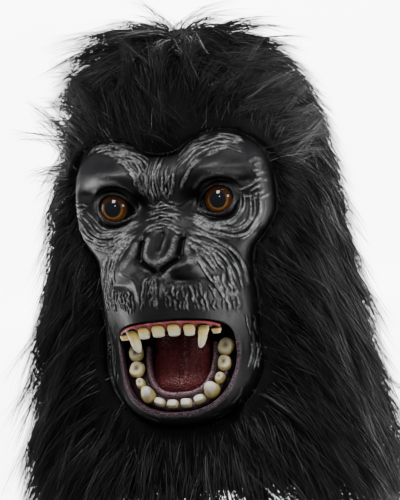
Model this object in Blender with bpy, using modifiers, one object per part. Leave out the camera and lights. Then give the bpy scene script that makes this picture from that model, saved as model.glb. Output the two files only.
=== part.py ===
"""Full-head gorilla costume mask: a hollow latex face set in a long-pile fur hood.

The origin is the crown point where the hood rests on the wearer's head, +Z is up
and the face looks along -Y. Lengths are metres; MM turns millimetres into them.
"Forward" is the distance in front of the crown along -Y, and "drop" the distance below it.
"""

import math

import bmesh
import bpy
import numpy as np
from mathutils import Matrix, Vector

MM = 0.001

# Face outline, which the hood, the eyes and the mouth take their width and height from
FACE_WIDTH = 158 * MM
FACE_HEIGHT = 225 * MM
FACE_TOP_DROP = 73 * MM
HOOD_SIDE_BAND = 11 * MM

# Hood: knitted backing over the wearer's head
HEAD_WIDTH = FACE_WIDTH + 2 * HOOD_SIDE_BAND
HEAD_FRONT = 98 * MM
HEAD_BACK = 113 * MM
HOOD_DROP = 345 * MM
BACKING_WALL = 1.6 * MM
CLEARANCE = 0.3 * MM

# Fur pile
PILE_DEPTH = 17 * MM
LOCK_RISE = 17 * MM
LOCK_SAG = 9 * MM
HEM_LOCK_LENGTH = 22 * MM
LOCKS_AROUND = 22
LOCK_ROWS = 9

# Latex face
FACE_PLANE = 101 * MM
LATEX_WALL = 2.2 * MM
STEEPEST_FACING = 0.4
EDGE_TURN = 7 * MM
BROW_RISE = 15 * MM
SOCKET_DEPTH = 9 * MM
MUZZLE_REACH = 40 * MM
NOSE_RISE = 7 * MM
CHEEK_RISE = 7 * MM

# Mouth
MOUTH_WIDTH = 0.576 * FACE_WIDTH
MOUTH_HEIGHT = 0.329 * FACE_HEIGHT
MOUTH_TOP_DROP = FACE_TOP_DROP + 0.609 * FACE_HEIGHT
LIP_ROLL = 4 * MM
LINING_WALL = 2 * MM
LINING_TAPER = 0.7 * MM
JAW_FLOOR_FORWARD = 110 * MM
JAW_TILT = math.radians(26)
GUM_HEIGHT = 7 * MM
GUM_BAND = 8 * MM
LOWER_ARCH_INSET = 10 * MM
LOWER_ARCH_WIDTH = MOUTH_WIDTH - 2 * LOWER_ARCH_INSET
LOWER_ARCH_DEPTH = 0.69 * LOWER_ARCH_WIDTH
UPPER_GUM_INSET = 6.5 * MM
UPPER_GUM_WIDTH = MOUTH_WIDTH - 2 * UPPER_GUM_INSET
UPPER_GUM_HEIGHT = 4.5 * MM
UPPER_GUM_BAND = 6 * MM
TONGUE_WIDTH = 0.704 * LOWER_ARCH_WIDTH
TONGUE_LENGTH = 1.143 * LOWER_ARCH_DEPTH
TONGUE_THICKNESS = 9 * MM
TONGUE_GAP = 3 * MM

# Eyes
EYE_PITCH = 0.525 * FACE_WIDTH
EYE_DROP = FACE_TOP_DROP + 0.2333 * FACE_HEIGHT
EYE_RADIUS = 14 * MM
EYE_FORWARD = 92 * MM
EYE_OPENING_WIDTH = 27 * MM
EYE_OPENING_HEIGHT = 22 * MM

# Horizontal sections of the hood: drop, half width, front and back as shares
# of HOOD_DROP, HEAD_WIDTH / 2, HEAD_FRONT and HEAD_BACK.
HOOD_SECTIONS = (
    # drop, half_width, front, back
    (0.012, 0.34, 0.35, 0.32),
    (0.041, 0.56, 0.58, 0.53),
    (0.087, 0.74, 0.78, 0.73),
    (0.145, 0.86, 0.90, 0.87),
    (0.217, 0.94, 0.97, 0.96),
    (0.319, 0.99, 1.00, 1.00),
    (0.435, 1.00, 1.00, 1.00),
    (0.551, 1.05, 0.98, 0.95),
    (0.667, 1.11, 0.96, 0.90),
    (0.783, 1.16, 0.97, 0.88),
    (0.870, 1.21, 0.99, 0.88),
    (0.942, 1.26, 1.03, 0.90),
    (1.000, 1.31, 1.08, 0.93),
)
FRONT_SQUARENESS = 3.0
BACK_SQUARENESS = 2.3

# Right half of the latex outline from the brow notch to the chin: shares of
# half the face's width, and of its height below its top.
FACE_OUTLINE = (
    # across, down
    (0.00, 0.065),
    (0.16, 0.055),
    (0.29, 0.020),
    (0.50, 0.000),
    (0.72, 0.012),
    (0.89, 0.065),
    (0.97, 0.130),
    (1.00, 0.215),
    (0.99, 0.290),
    (0.91, 0.350),
    (0.79, 0.410),
    (0.77, 0.480),
    (0.78, 0.560),
    (0.77, 0.640),
    (0.77, 0.710),
    (0.78, 0.785),
    (0.72, 0.860),
    (0.58, 0.925),
    (0.34, 0.980),
    (0.00, 1.000),
)

# Right half of the mouth's edge: shares of half its width and of its height.
MOUTH_OUTLINE = (
    # across, down
    (0.00, 0.000),
    (0.33, 0.006),
    (0.66, 0.035),
    (0.87, 0.090),
    (0.98, 0.180),
    (1.00, 0.320),
    (0.99, 0.490),
    (0.94, 0.640),
    (0.82, 0.790),
    (0.60, 0.915),
    (0.30, 0.985),
    (0.00, 1.000),
)

# Swellings and hollows of the face. Across, down and their spreads are shares of half
# the face's width and of its height; rise is a share of the named relief. Each row
# with an across above zero is made on both sides.
FACE_FORMS = (
    # relief, across, down, spread_across, spread_down, squareness, rise
    (BROW_RISE, 0.45, 0.135, 0.34, 0.075, 2.0, 1.00),
    (BROW_RISE, 0.00, 0.150, 0.22, 0.080, 2.0, 0.40),
    (SOCKET_DEPTH, 0.52, 0.235, 0.24, 0.045, 2.0, -1.00),
    (SOCKET_DEPTH, 0.24, 0.245, 0.09, 0.035, 2.0, -0.70),
    (NOSE_RISE, 0.00, 0.270, 0.16, 0.070, 2.0, 0.90),
    (CHEEK_RISE, 0.66, 0.320, 0.24, 0.055, 2.0, 1.00),
    (MUZZLE_REACH, 0.00, 0.580, 0.62, 0.245, 3.6, 1.00),
    (NOSE_RISE, 0.27, 0.440, 0.15, 0.045, 2.4, 1.00),
    (NOSE_RISE, 0.00, 0.410, 0.15, 0.055, 2.4, 1.10),
    (NOSE_RISE, 0.14, 0.455, 0.06, 0.030, 2.0, -1.10),
    (MUZZLE_REACH, 0.00, 0.930, 0.62, 0.160, 3.0, 0.52),
)

# Teeth: width and depth are shares of the arch's width and height of the lower gum's.
# Station is a share of half the arch's length, across one of half the gum's width.
LOWER_TEETH = (
    # name, station, width, depth, height, tip
    ("incisor_inner", 0.075, 0.115, 0.075, 0.75, 0.80),
    ("incisor_outer", 0.225, 0.115, 0.075, 0.80, 0.80),
    ("canine", 0.395, 0.155, 0.130, 1.75, 0.42),
    ("premolar", 0.560, 0.110, 0.085, 0.80, 0.75),
    ("molar_front", 0.735, 0.145, 0.120, 0.70, 0.85),
    ("molar_back", 0.925, 0.155, 0.130, 0.70, 0.85),
)
UPPER_TEETH = (
    # name, across, width, depth, height, tip
    ("incisor_inner", 0.155, 0.125, 0.070, 1.15, 0.95),
    ("incisor_outer", 0.450, 0.110, 0.070, 1.10, 0.90),
    ("canine", 0.715, 0.105, 0.090, 2.20, 0.35),
    ("premolar", 0.915, 0.080, 0.070, 0.80, 0.75),
)
ARCH_SQUARENESS = 2.6

# Each finish: base colour, roughness and metallic value
FINISHES = {
    "black_latex": ((0.045, 0.045, 0.048), 0.42, 0.0),
    "mouth_latex": ((0.035, 0.018, 0.024), 0.30, 0.0),
    "tongue_latex": ((0.14, 0.008, 0.012), 0.25, 0.0),
    "gum_latex": ((0.38, 0.10, 0.10), 0.35, 0.0),
    "tooth_latex": ((0.80, 0.70, 0.42), 0.35, 0.0),
    "eye_acrylic": ((0.30, 0.12, 0.02), 0.08, 0.0),
    "black_knit": ((0.015, 0.015, 0.016), 0.90, 0.0),
    "black_fur": ((0.010, 0.010, 0.011), 0.75, 0.0),
}


def clear_scene():
    for found in list(bpy.data.objects):
        bpy.data.objects.remove(found)


def collection_named(name):
    made = bpy.data.collections.new(name)
    bpy.context.scene.collection.children.link(made)
    return made


def finish(name):
    material = bpy.data.materials.get(name)
    if material:
        return material
    colour, roughness, metallic = FINISHES[name]
    material = bpy.data.materials.new(name)
    material.use_nodes = True
    shader = material.node_tree.nodes["Principled BSDF"]
    shader.inputs["Base Color"].default_value = (*colour, 1.0)
    shader.inputs["Roughness"].default_value = roughness
    shader.inputs["Metallic"].default_value = metallic
    return material


def add(name, mesh, finish_name, collection):
    made = bpy.data.objects.new(name, mesh)
    collection.objects.link(made)
    if finish_name:
        mesh.materials.clear()
        mesh.materials.append(finish(finish_name))
        mesh.shade_smooth()
        mesh.set_sharp_from_angle(angle=math.radians(50))
    return made


def mesh_of(name, points, faces):
    mesh = bpy.data.meshes.new(name)
    mesh.from_pydata([tuple(p) for p in points], [], faces)
    return mesh


def face_outward(mesh):
    """Turns every face of a closed mesh outward."""
    shape = bmesh.new()
    shape.from_mesh(mesh)
    bmesh.ops.triangulate(shape, faces=shape.faces)
    bmesh.ops.recalc_face_normals(shape, faces=shape.faces)
    shape.to_mesh(mesh)
    shape.free()
    return mesh


def loft(name, rings, start_cap, end_cap):
    """A skin through rings of equally many points. A cap is a point, "flat" or None."""
    count = len(rings[0])
    points = [p for ring in rings for p in ring]
    faces = []
    for row in range(len(rings) - 1):
        for i in range(count):
            j = (i + 1) % count
            here, there = row * count, (row + 1) * count
            faces.append((here + i, here + j, there + j, there + i))
    for cap, start in ((start_cap, 0), (end_cap, len(points) - count)):
        loop = [start + i for i in range(count)]
        if isinstance(cap, str):
            faces.append(tuple(loop))
        elif cap is not None:
            points.append(cap)
            peak = len(points) - 1
            faces += [(a, b, peak) for a, b in zip(loop, loop[1:] + loop[:1])]
    return face_outward(mesh_of(name, points, faces))


def cut(target, cutter, operation="DIFFERENCE"):
    """Cuts target by cutter, or joins the two, and keeps the outcome as plain mesh."""
    modifier = target.modifiers.new(operation.lower(), "BOOLEAN")
    modifier.operation = operation
    modifier.solver = "EXACT"
    modifier.object = cutter
    settle(target)


def settle(target):
    """Replaces an object's mesh by what its modifiers make of it."""
    graph = bpy.context.evaluated_depsgraph_get()
    made = bpy.data.meshes.new_from_object(target.evaluated_get(graph))
    target.modifiers.clear()
    target.data = made


def thicken(target, wall, side):
    """Gives an open skin its wall; side is -1 behind its faces and 1 in front."""
    modifier = target.modifiers.new("wall", "SOLIDIFY")
    modifier.thickness = wall
    modifier.offset = side
    settle(target)


def smooth_loop(half, steps):
    """The closed loop through half an outline and its mirror image, as (across, down)."""
    whole = list(half) + [(-across, down) for across, down in reversed(half[1:-1])]
    knots = np.array(whole, float)
    count = len(knots)
    loop = []
    for i in range(count):
        a, b, c, d = (knots[(i + k) % count] for k in (-1, 0, 1, 2))
        for step in range(steps):
            t = step / steps
            bend = (2 * a - 5 * b + 4 * c - d) * t * t + (3 * b - a - 3 * c + d) * t**3
            loop.append(0.5 * (2 * b + (c - a) * t + bend))
    return np.array(loop)


def outline_loop(half, width, height, top_drop, steps, margin=0.0):
    """An outline at its real size as (x, z) points, moved outward by a margin."""
    loop = smooth_loop(half, steps)
    points = np.stack([loop[:, 0] * width / 2, -top_drop - loop[:, 1] * height], 1)
    ahead, behind = np.roll(points, -1, 0), np.roll(points, 1, 0)
    along = ahead - behind
    out = np.stack([-along[:, 1], along[:, 0]], 1)
    out /= np.linalg.norm(out, axis=1)[:, None]
    return points + out * margin


def face_loop(margin=0.0):
    return outline_loop(FACE_OUTLINE, FACE_WIDTH, FACE_HEIGHT, FACE_TOP_DROP, 2, margin)


def mouth_loop(margin=0.0):
    return outline_loop(
        MOUTH_OUTLINE, MOUTH_WIDTH, MOUTH_HEIGHT, MOUTH_TOP_DROP, 2, margin
    )


# Hood form

def hood_section(drop):
    """Half width, front and back of the hood's outside at a drop below the crown."""
    table = np.array(HOOD_SECTIONS)
    share = drop / HOOD_DROP
    half, front, back = (np.interp(share, table[:, 0], table[:, k]) for k in (1, 2, 3))
    return half * HEAD_WIDTH / 2, front * HEAD_FRONT, back * HEAD_BACK


def hood_forward(x, z):
    """How far forward the hood's outside lies at a point of the front view."""
    half, front, _ = hood_section(-z)
    across = np.clip(np.abs(x) / half, 0, 0.995)
    return front * (1 - across**FRONT_SQUARENESS) ** (1 / FRONT_SQUARENESS)


def around(angle, half, front, back):
    """A point of a hood section; angle 0 is at its left side and -90 degrees in front."""
    c, s = math.cos(angle), math.sin(angle)
    square = FRONT_SQUARENESS if s < 0 else BACK_SQUARENESS
    reach = front if s < 0 else back
    x = math.copysign(abs(c) ** (2 / square), c) * half
    y = math.copysign(abs(s) ** (2 / square), s) * reach
    return x, y


def hood_rings(segments, outset, lowest=None):
    """The hood's sections as rings of points, moved outward all round by outset."""
    rings = []
    for share, *_ in HOOD_SECTIONS:
        drop = share * HOOD_DROP
        half, front, back = hood_section(drop)
        lift = outset * max(0.0, 1 - half / (HEAD_WIDTH / 2))
        ring = []
        for i in range(segments):
            angle = 2 * math.pi * (i + 0.5) / segments
            x, y = around(angle, half + outset, front + outset, back + outset)
            ring.append((x, y, lift - drop))
        rings.append(ring)
    if lowest is not None:
        rings.append([(x, y, -lowest) for x, y, _ in rings[-1]])
    return rings


def face_prism(name, margin, helpers):
    """The face's outline carried straight through the front of the hood."""
    loop = face_loop(margin)
    near, far = -0.35 * HEAD_FRONT, -2.5 * HEAD_FRONT
    rings = [[(x, y, z) for x, z in loop] for y in (near, far)]
    cutter = add(name, loft(name, rings, "flat", "flat"), None, helpers)
    cutter.hide_render = True
    cutter.display_type = "WIRE"
    return cutter


def make_backing(parts, opening):
    segments = 32
    crown = (0, 0, BACKING_WALL)
    mesh = loft("hood_backing", hood_rings(segments, 0), crown, None)
    backing = add("hood_backing", mesh, "black_knit", parts)
    thicken(backing, BACKING_WALL, -1)
    cut(backing, opening)
    return backing


# Fur pile: rows of locks like shingles on a skin that follows the backing

def pile_depth(drop):
    """The pile's depth between locks, which is shorter on the crown's front."""
    return PILE_DEPTH * (0.75 + 0.25 * min(1.0, drop / (0.35 * HOOD_DROP)))


def lock_rings():
    """Rings of the pile's outside: each row of locks swells to its tips, then steps in."""
    segments = 2 * LOCKS_AROUND
    # share of a row's length, outward share of LOCK_RISE, sag share of LOCK_SAG at a tip
    profile = ((0.15, 0.10, 0.0), (0.62, 0.60, 0.3), (0.98, 1.00, 1.0))
    lowest = HOOD_DROP + HEM_LOCK_LENGTH
    rings = []
    for row in range(LOCK_ROWS):
        for along, outward, sag in profile:
            drop = lowest * ((row + along) / LOCK_ROWS) ** 1.25
            flare = 0.75 + 0.5 * drop / lowest
            depth = pile_depth(drop)
            half, front, back = hood_section(min(drop, HOOD_DROP))
            ring = []
            for i in range(segments):
                tip = 1.0 if (i + row) % 2 else 0.25
                out = depth + LOCK_RISE * outward * tip * flare
                angle = 2 * math.pi * (i + 0.5) / segments
                x, y = around(angle, half + out, front + out, back + out)
                top = max(0.0, 1 - half / (HEAD_WIDTH / 2))
                ring.append((x, y, out * top - drop - LOCK_SAG * sag * tip))
            rings.append(ring)
    return rings


def make_fur(parts, helpers, opening):
    rings = lock_rings()
    peak = (0, 0, pile_depth(0) + LOCK_RISE)
    fur = add("fur_pile", loft("fur_pile", rings, peak, "flat"), "black_fur", parts)
    lowest = HOOD_DROP + 3 * HEM_LOCK_LENGTH
    inside = hood_rings(32, CLEARANCE, lowest)
    crown = (0, 0, BACKING_WALL + 2 * CLEARANCE)
    room = add("hood_room", loft("hood_room", inside, crown, "flat"), None, helpers)
    room.hide_render = True
    cut(fur, room)
    cut(fur, opening)
    return fur


# Latex face

def face_forward(x, z):
    """How far forward the latex's front lies at a point inside its outline."""
    across = np.abs(x) / (FACE_WIDTH / 2)
    down = (-z - FACE_TOP_DROP) / FACE_HEIGHT
    forward = FACE_PLANE - 0.09 * FACE_PLANE * across**2.5
    forward = forward - 0.10 * FACE_PLANE * np.clip(0.12 - down, 0, 1) / 0.12
    for relief, mid_x, mid_down, spread_x, spread_down, square, rise in FACE_FORMS:
        for side in (1,) if mid_x == 0 else (1, -1):
            off_x = np.abs(side * x / (FACE_WIDTH / 2) - mid_x) / spread_x
            off_z = np.abs(down - mid_down) / spread_down
            forward = forward + relief * rise * np.exp(-(off_x**square) - off_z**square)
    return forward


def loop_distance(points, loop):
    """Distance of each (x, z) point from a closed loop, and whether it is inside."""
    a, b = loop, np.roll(loop, -1, 0)
    span = b - a
    rel = points[:, None] - a[None]
    t = np.clip((rel * span).sum(2) / (span**2).sum(1), 0, 1)
    near = np.linalg.norm(rel - t[..., None] * span, axis=2).min(1)
    crosses = (a[None, :, 1] > points[:, None, 1]) != (b[None, :, 1] > points[:, None, 1])
    rise = np.where(np.abs(span[:, 1]) < 1e-12, 1e-12, span[:, 1])
    at = a[None, :, 0] + (points[:, None, 1] - a[None, :, 1]) / rise * span[:, 0]
    inside = (crosses & (points[:, None, 0] < at)).sum(1) % 2 == 1
    return near, inside


def skin_forward(points):
    """The latex's front with its lip roll and the side wall that meets the hood."""
    forward = face_forward(points[:, 0], points[:, 1])
    lip, _ = loop_distance(points, mouth_loop())
    roll = np.exp(-((lip / (1.6 * LIP_ROLL)) ** 2))
    low = np.clip((-points[:, 1] - MOUTH_TOP_DROP) / MOUTH_HEIGHT, 0, 1)
    forward = forward + LIP_ROLL * roll * (0.3 + 0.7 * low)
    edge, inside = loop_distance(points, face_loop())
    share = np.clip(np.where(inside, edge, 0) / EDGE_TURN, 0, 1)
    blend = share * share * (3 - 2 * share)
    rim = hood_forward(points[:, 0], points[:, 1])
    return rim + (forward - rim) * np.sqrt(blend)


def disc_to_outline(a, b, loop, middle):
    """Moves points of the square -1..1 to an outline that is a star about its middle."""
    disc_x, disc_z = a * np.sqrt(1 - b * b / 2), b * np.sqrt(1 - a * a / 2)
    out = loop - middle
    angles = np.arctan2(out[:, 1], out[:, 0])
    order = np.argsort(angles)
    corners, angles = out[order], angles[order]
    slot = np.searchsorted(angles, np.arctan2(disc_z, disc_x)) % len(angles)
    here, there = corners[slot - 1], corners[slot]
    side = there - here
    doubled_area = here[:, 0] * there[:, 1] - here[:, 1] * there[:, 0]
    scale = doubled_area / np.where(
        np.hypot(disc_x, disc_z) < 1e-9, 1, disc_x * side[:, 1] - disc_z * side[:, 0]
    )
    return middle + np.stack([disc_x, disc_z], 1) * (scale * np.hypot(disc_x, disc_z))[:, None]


def make_skin(parts):
    columns, rows = 24, 34
    bpy.ops.mesh.primitive_grid_add(x_subdivisions=columns, y_subdivisions=rows, size=2)
    grid = bpy.context.object
    mesh = grid.data
    square = np.array([v.co[:2] for v in mesh.vertices])
    middle = np.array([0.0, -FACE_TOP_DROP - 0.46 * FACE_HEIGHT])
    flat = disc_to_outline(square[:, 0], square[:, 1], face_loop(), middle)
    forward = skin_forward(flat)
    for vertex, (x, z), reach in zip(mesh.vertices, flat, forward):
        vertex.co = (x, -reach, z)
    mesh.update()
    front = [v.co.copy() for v in mesh.vertices]
    walls = [LATEX_WALL / max(abs(v.normal.y), STEEPEST_FACING) for v in mesh.vertices]
    back = [co + Vector((0, wall, 0)) for co, wall in zip(front, walls)]
    count = len(front)
    faces = [tuple(p.vertices) for p in mesh.polygons]
    uses = {}
    for face in faces:
        for a, b in zip(face, face[1:] + face[:1]):
            uses.setdefault((min(a, b), max(a, b)), []).append((a, b))
    rim = [sides[0] for sides in uses.values() if len(sides) == 1]
    walls = [(b, a, a + count, b + count) for a, b in rim]
    behind = [tuple(i + count for i in reversed(face)) for face in faces]
    bpy.data.objects.remove(grid)
    shell = face_outward(mesh_of("face_skin", front + back, faces + behind + walls))
    return add("face_skin", shell, "black_latex", parts)


def cut_mouth(skin, helpers):
    loop = mouth_loop()
    rings = [[(x, y, z) for x, z in loop] for y in (-0.5 * FACE_PLANE, -2 * FACE_PLANE)]
    hole = add("mouth_hole", loft("mouth_hole", rings, "flat", "flat"), None, helpers)
    hole.hide_render = True
    cut(skin, hole)


def make_eyes(parts, helpers, skin):
    for side, name in ((1, "eye_left"), (-1, "eye_right")):
        place = Vector((side * EYE_PITCH / 2, -EYE_FORWARD, -EYE_DROP))
        for radius, label in ((EYE_RADIUS, name), (EYE_RADIUS + CLEARANCE, name + "_room")):
            shape = bmesh.new()
            bmesh.ops.create_uvsphere(shape, u_segments=12, v_segments=8, radius=radius)
            mesh = bpy.data.meshes.new(label)
            shape.to_mesh(mesh)
            shape.free()
            mesh.transform(Matrix.Rotation(math.pi / 2, 4, "X"))
            if label == name:
                add(label, mesh, "eye_acrylic", parts).location = place
            else:
                room = add(label, mesh, None, helpers)
                room.location = place
                room.hide_render = True
                bpy.context.view_layer.update()
                cut(skin, room)
        opening = eye_opening(name, place, helpers)
        cut(skin, opening)


def eye_opening(name, place, helpers):
    """An oval tube along Y through the lids in front of the eye."""
    shape = bmesh.new()
    bmesh.ops.create_cone(
        shape, cap_ends=True, segments=16, radius1=0.5, radius2=0.5, depth=1
    )
    mesh = bpy.data.meshes.new(name + "_opening")
    shape.to_mesh(mesh)
    shape.free()
    mesh.transform(Matrix.Rotation(math.pi / 2, 4, "X"))
    reach = 4 * EYE_RADIUS
    mesh.transform(Matrix.Diagonal((EYE_OPENING_WIDTH, reach, EYE_OPENING_HEIGHT, 1)))
    opening = add(name + "_opening", mesh, None, helpers)
    opening.location = place + Vector((0, -0.45 * reach, 0))
    opening.hide_render = True
    bpy.context.view_layer.update()
    return opening


# Mouth: everything in it stands on the jaw's plane, which leans back from the lower lip

def jaw_frame():
    """Jaw coordinates to the mask's: x across, y back along the jaw, z out of its plane."""
    back = Vector((0, math.sin(JAW_TILT), math.cos(JAW_TILT)))
    out = Vector((0, -math.cos(JAW_TILT), math.sin(JAW_TILT)))
    bottom = MOUTH_TOP_DROP + MOUTH_HEIGHT - LINING_WALL - 5 * CLEARANCE
    frame = Matrix.Translation((0, -JAW_FLOOR_FORWARD, -bottom)) @ Matrix((
        (1, back.x, out.x, 0),
        (0, back.y, out.y, 0),
        (0, back.z, out.z, 0),
        (0, 0, 0, 1),
    ))
    return frame


def under_floor_forward(z):
    """How far forward the back of the dish's floor lies at a height."""
    frame = jaw_frame()
    back, out = frame.col[1], frame.col[2]
    start = frame.translation - out.to_3d() * LINING_WALL
    return -(start.y + (z - start.z) / back.z * back.y)


def make_lining(parts):
    """The mouth's dish: its rim fills the skin's mouth hole, its floor is flat."""
    rim = mouth_loop(-CLEARANCE)
    rim_forward = skin_forward(rim) - 0.5 * LATEX_WALL
    shoulder = mouth_loop(-CLEARANCE - LINING_TAPER)
    middle = np.array([0.0, -MOUTH_TOP_DROP - 0.5 * MOUTH_HEIGHT])
    rings = [[(x, -f, z) for (x, z), f in zip(rim, rim_forward)]]
    rings.append([(x, -under_floor_forward(z), z) for x, z in shoulder])
    for share in (0.6, 0.25):
        ring = middle + (shoulder - middle) * share
        rings.append([(x, -under_floor_forward(z), z) for x, z in ring])
    centre = (0, -under_floor_forward(middle[1]), middle[1])
    mesh = loft("mouth_lining", rings, None, centre)
    lining = add("mouth_lining", mesh, "mouth_latex", parts)
    orient_forward(lining.data)
    thicken(lining, LINING_WALL, 1)
    return lining


def orient_forward(mesh):
    """Turns an open dish so that its faces look out of the mouth."""
    whole = sum((p.normal * p.area for p in mesh.polygons), Vector())
    if whole.y > 0:
        mesh.flip_normals()


def arch_point(angle, width, depth):
    """A point of a tooth arch: across, and back from its front; angle 0 is its middle."""
    power = 2 / ARCH_SQUARENESS
    across = math.copysign(abs(math.sin(angle)) ** power, angle) * width / 2
    return across, depth * (1 - abs(math.cos(angle)) ** power)


def arch_station(share, width, depth):
    """The arch's point and tangent angle at a share of its half length."""
    angles = np.linspace(0, math.pi / 2, 200)
    points = np.array([arch_point(a, width, depth) for a in angles])
    steps = np.linalg.norm(np.diff(points, axis=0), axis=1)
    length = np.concatenate([[0], np.cumsum(steps)])
    at = share * length[-1]
    x, y = (np.interp(at, length, points[:, k]) for k in (0, 1))
    ahead = np.interp(at + 0.02 * length[-1], length, points[:, 0]) - x
    back = np.interp(at + 0.02 * length[-1], length, points[:, 1]) - y
    return x, y, math.atan2(back, max(ahead, 1e-9))


def arch_band(name, width, depth, band, height, reach):
    """A bar of gum along an arch, its flat foot at zero height."""
    angles = np.linspace(-reach, reach, 17) * math.pi / 2
    outer = [arch_point(a, width + band, depth + band / 2) for a in angles]
    outer = [(x, y - band / 2) for x, y in outer]
    inner = [arch_point(a, width - band, depth - band / 2) for a in angles]
    inner = [(x, y + band / 2) for x, y in inner]
    curve = bpy.data.curves.new(name, "CURVE")
    curve.dimensions = "2D"
    curve.fill_mode = "BOTH"
    curve.extrude = height / 2
    points = outer + inner[::-1]
    spline = curve.splines.new("POLY")
    spline.points.add(len(points) - 1)
    for point, (x, y) in zip(spline.points, points):
        point.co = (x, y, 0, 1)
    spline.use_cyclic_u = True
    source = bpy.data.objects.new(name + "_outline", curve)
    bpy.context.scene.collection.objects.link(source)
    graph = bpy.context.evaluated_depsgraph_get()
    mesh = bpy.data.meshes.new_from_object(source.evaluated_get(graph))
    bpy.data.objects.remove(source)
    shape = bmesh.new()
    shape.from_mesh(mesh)
    bmesh.ops.remove_doubles(shape, verts=shape.verts, dist=0.01 * MM)
    bmesh.ops.translate(shape, verts=shape.verts, vec=(0, 0, height / 2))
    bmesh.ops.recalc_face_normals(shape, faces=shape.faces)
    shape.to_mesh(mesh)
    shape.free()
    return mesh


def tooth_mesh(name, width, depth, height, tip):
    """A tooth standing on zero height: a block with rounded edges that narrows to its tip."""
    shape = bmesh.new()
    bmesh.ops.create_cube(shape, size=1)
    for vertex in shape.verts:
        vertex.co.z += 0.5
        narrow = 1 + (tip - 1) * vertex.co.z
        vertex.co.x *= width * narrow
        vertex.co.y *= depth * narrow
        vertex.co.z *= height
    bmesh.ops.bevel(
        shape,
        geom=[e for e in shape.edges if max(v.co.z for v in e.verts) > 0.01 * MM],
        offset=0.26 * min(width, depth) * tip,
        segments=1,
        affect="EDGES",
    )
    mesh = bpy.data.meshes.new(name)
    bmesh.ops.recalc_face_normals(shape, faces=shape.faces)
    shape.to_mesh(mesh)
    shape.free()
    return mesh


def stand_tooth(name, size, place, parts):
    width, depth, height, tip = size
    mesh = tooth_mesh(name, width, depth, height, tip)
    mesh.transform(place)
    add(name, face_outward(mesh), "tooth_latex", parts)


def make_lower_jaw(parts):
    """The gum lies on the mouth's floor and carries six teeth on each side."""
    frame = jaw_frame() @ Matrix.Translation((0, GUM_BAND / 2, CLEARANCE))
    width, depth = LOWER_ARCH_WIDTH, LOWER_ARCH_DEPTH
    gum = arch_band("lower_gum", width, depth, GUM_BAND, GUM_HEIGHT, 1.0)
    gum.transform(frame)
    add("lower_gum", gum, "mouth_latex", parts)
    for name, station, wide, deep, tall, tip in LOWER_TEETH:
        x, y, turn = arch_station(station, width, depth)
        size = (wide * width, deep * width, tall * GUM_HEIGHT, tip)
        for side, label in ((1, "left"), (-1, "right")):
            stand = Matrix.Translation((side * x, y, GUM_HEIGHT + CLEARANCE))
            place = frame @ stand @ Matrix.Rotation(side * turn, 4, "Z")
            stand_tooth(f"lower_{name}_{label}", size, place, parts)


def make_tongue(parts):
    """A tapered pad on the mouth's floor with a groove down its middle."""
    frame = jaw_frame()
    # share of length from the tip, half width share, thickness share
    sections = (
        (0.00, 0.45, 0.35),
        (0.08, 0.72, 0.70),
        (0.25, 0.94, 1.00),
        (0.60, 1.00, 1.00),
        (1.00, 0.96, 0.75),
    )
    # across share of the half width, height share of the thickness
    profile = ((-1.0, 0.0), (-1.0, 0.45), (-0.8, 0.9), (-0.4, 1.0), (0.0, 0.8))
    profile += tuple((-across, high) for across, high in reversed(profile[:-1]))
    start = GUM_BAND + TONGUE_GAP
    rings = []
    for along, half, thick in sections:
        rings.append([
            (
                across * half * TONGUE_WIDTH / 2,
                start + along * TONGUE_LENGTH,
                CLEARANCE + high * thick * TONGUE_THICKNESS,
            )
            for across, high in profile
        ])
    mesh = loft("tongue", rings, "flat", "flat")
    mesh.transform(frame)
    add("tongue", face_outward(mesh), "tongue_latex", parts)


def lip_edge(x):
    """Forward and height of the upper lip's edge at a distance across."""
    loop = mouth_loop()
    upper = loop[loop[:, 1] > -MOUTH_TOP_DROP - 0.3 * MOUTH_HEIGHT]
    upper = upper[np.argsort(upper[:, 0])]
    forward = skin_forward(upper)
    return np.interp(x, upper[:, 0], forward), np.interp(x, upper[:, 0], upper[:, 1])


def upper_gum_top(x):
    """The gum's foot, just under the lining's roof."""
    return lip_edge(x)[1] - LINING_WALL - 3 * CLEARANCE


def make_upper_jaw(parts):
    """The upper gum follows the lip's edge under the lining's roof; its teeth hang from it."""
    rings = []
    for share in np.linspace(-1, 1, 17):
        x = share * UPPER_GUM_WIDTH / 2
        front = lip_edge(x)[0] - 1.2 * LATEX_WALL
        top = upper_gum_top(x)
        low = top - UPPER_GUM_HEIGHT
        back = front - UPPER_GUM_BAND
        rings.append([(x, -front, top), (x, -back, top), (x, -back, low), (x, -front, low)])
    add("upper_gum", loft("upper_gum", rings, "flat", "flat"), "gum_latex", parts)
    for name, across, wide, deep, tall, tip in UPPER_TEETH:
        x = across * UPPER_GUM_WIDTH / 2
        half = wide * UPPER_GUM_WIDTH / 2
        under = min(upper_gum_top(x + k * half) for k in (-1.2, 0, 1.2))
        root = under - UPPER_GUM_HEIGHT - CLEARANCE
        forward = lip_edge(x)[0] - 1.2 * LATEX_WALL - UPPER_GUM_BAND / 2
        turn = math.atan2(lip_edge(x + half)[0] - lip_edge(x - half)[0], 2 * half)
        size = (wide * UPPER_GUM_WIDTH, deep * UPPER_GUM_WIDTH, tall * GUM_HEIGHT, tip)
        for side, label in ((1, "left"), (-1, "right")):
            hang = Matrix.Translation((side * x, -forward, root))
            place = hang @ Matrix.Rotation(-side * turn, 4, "Z") @ Matrix.Rotation(
                math.pi, 4, "Y"
            )
            stand_tooth(f"upper_{name}_{label}", size, place, parts)


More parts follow.
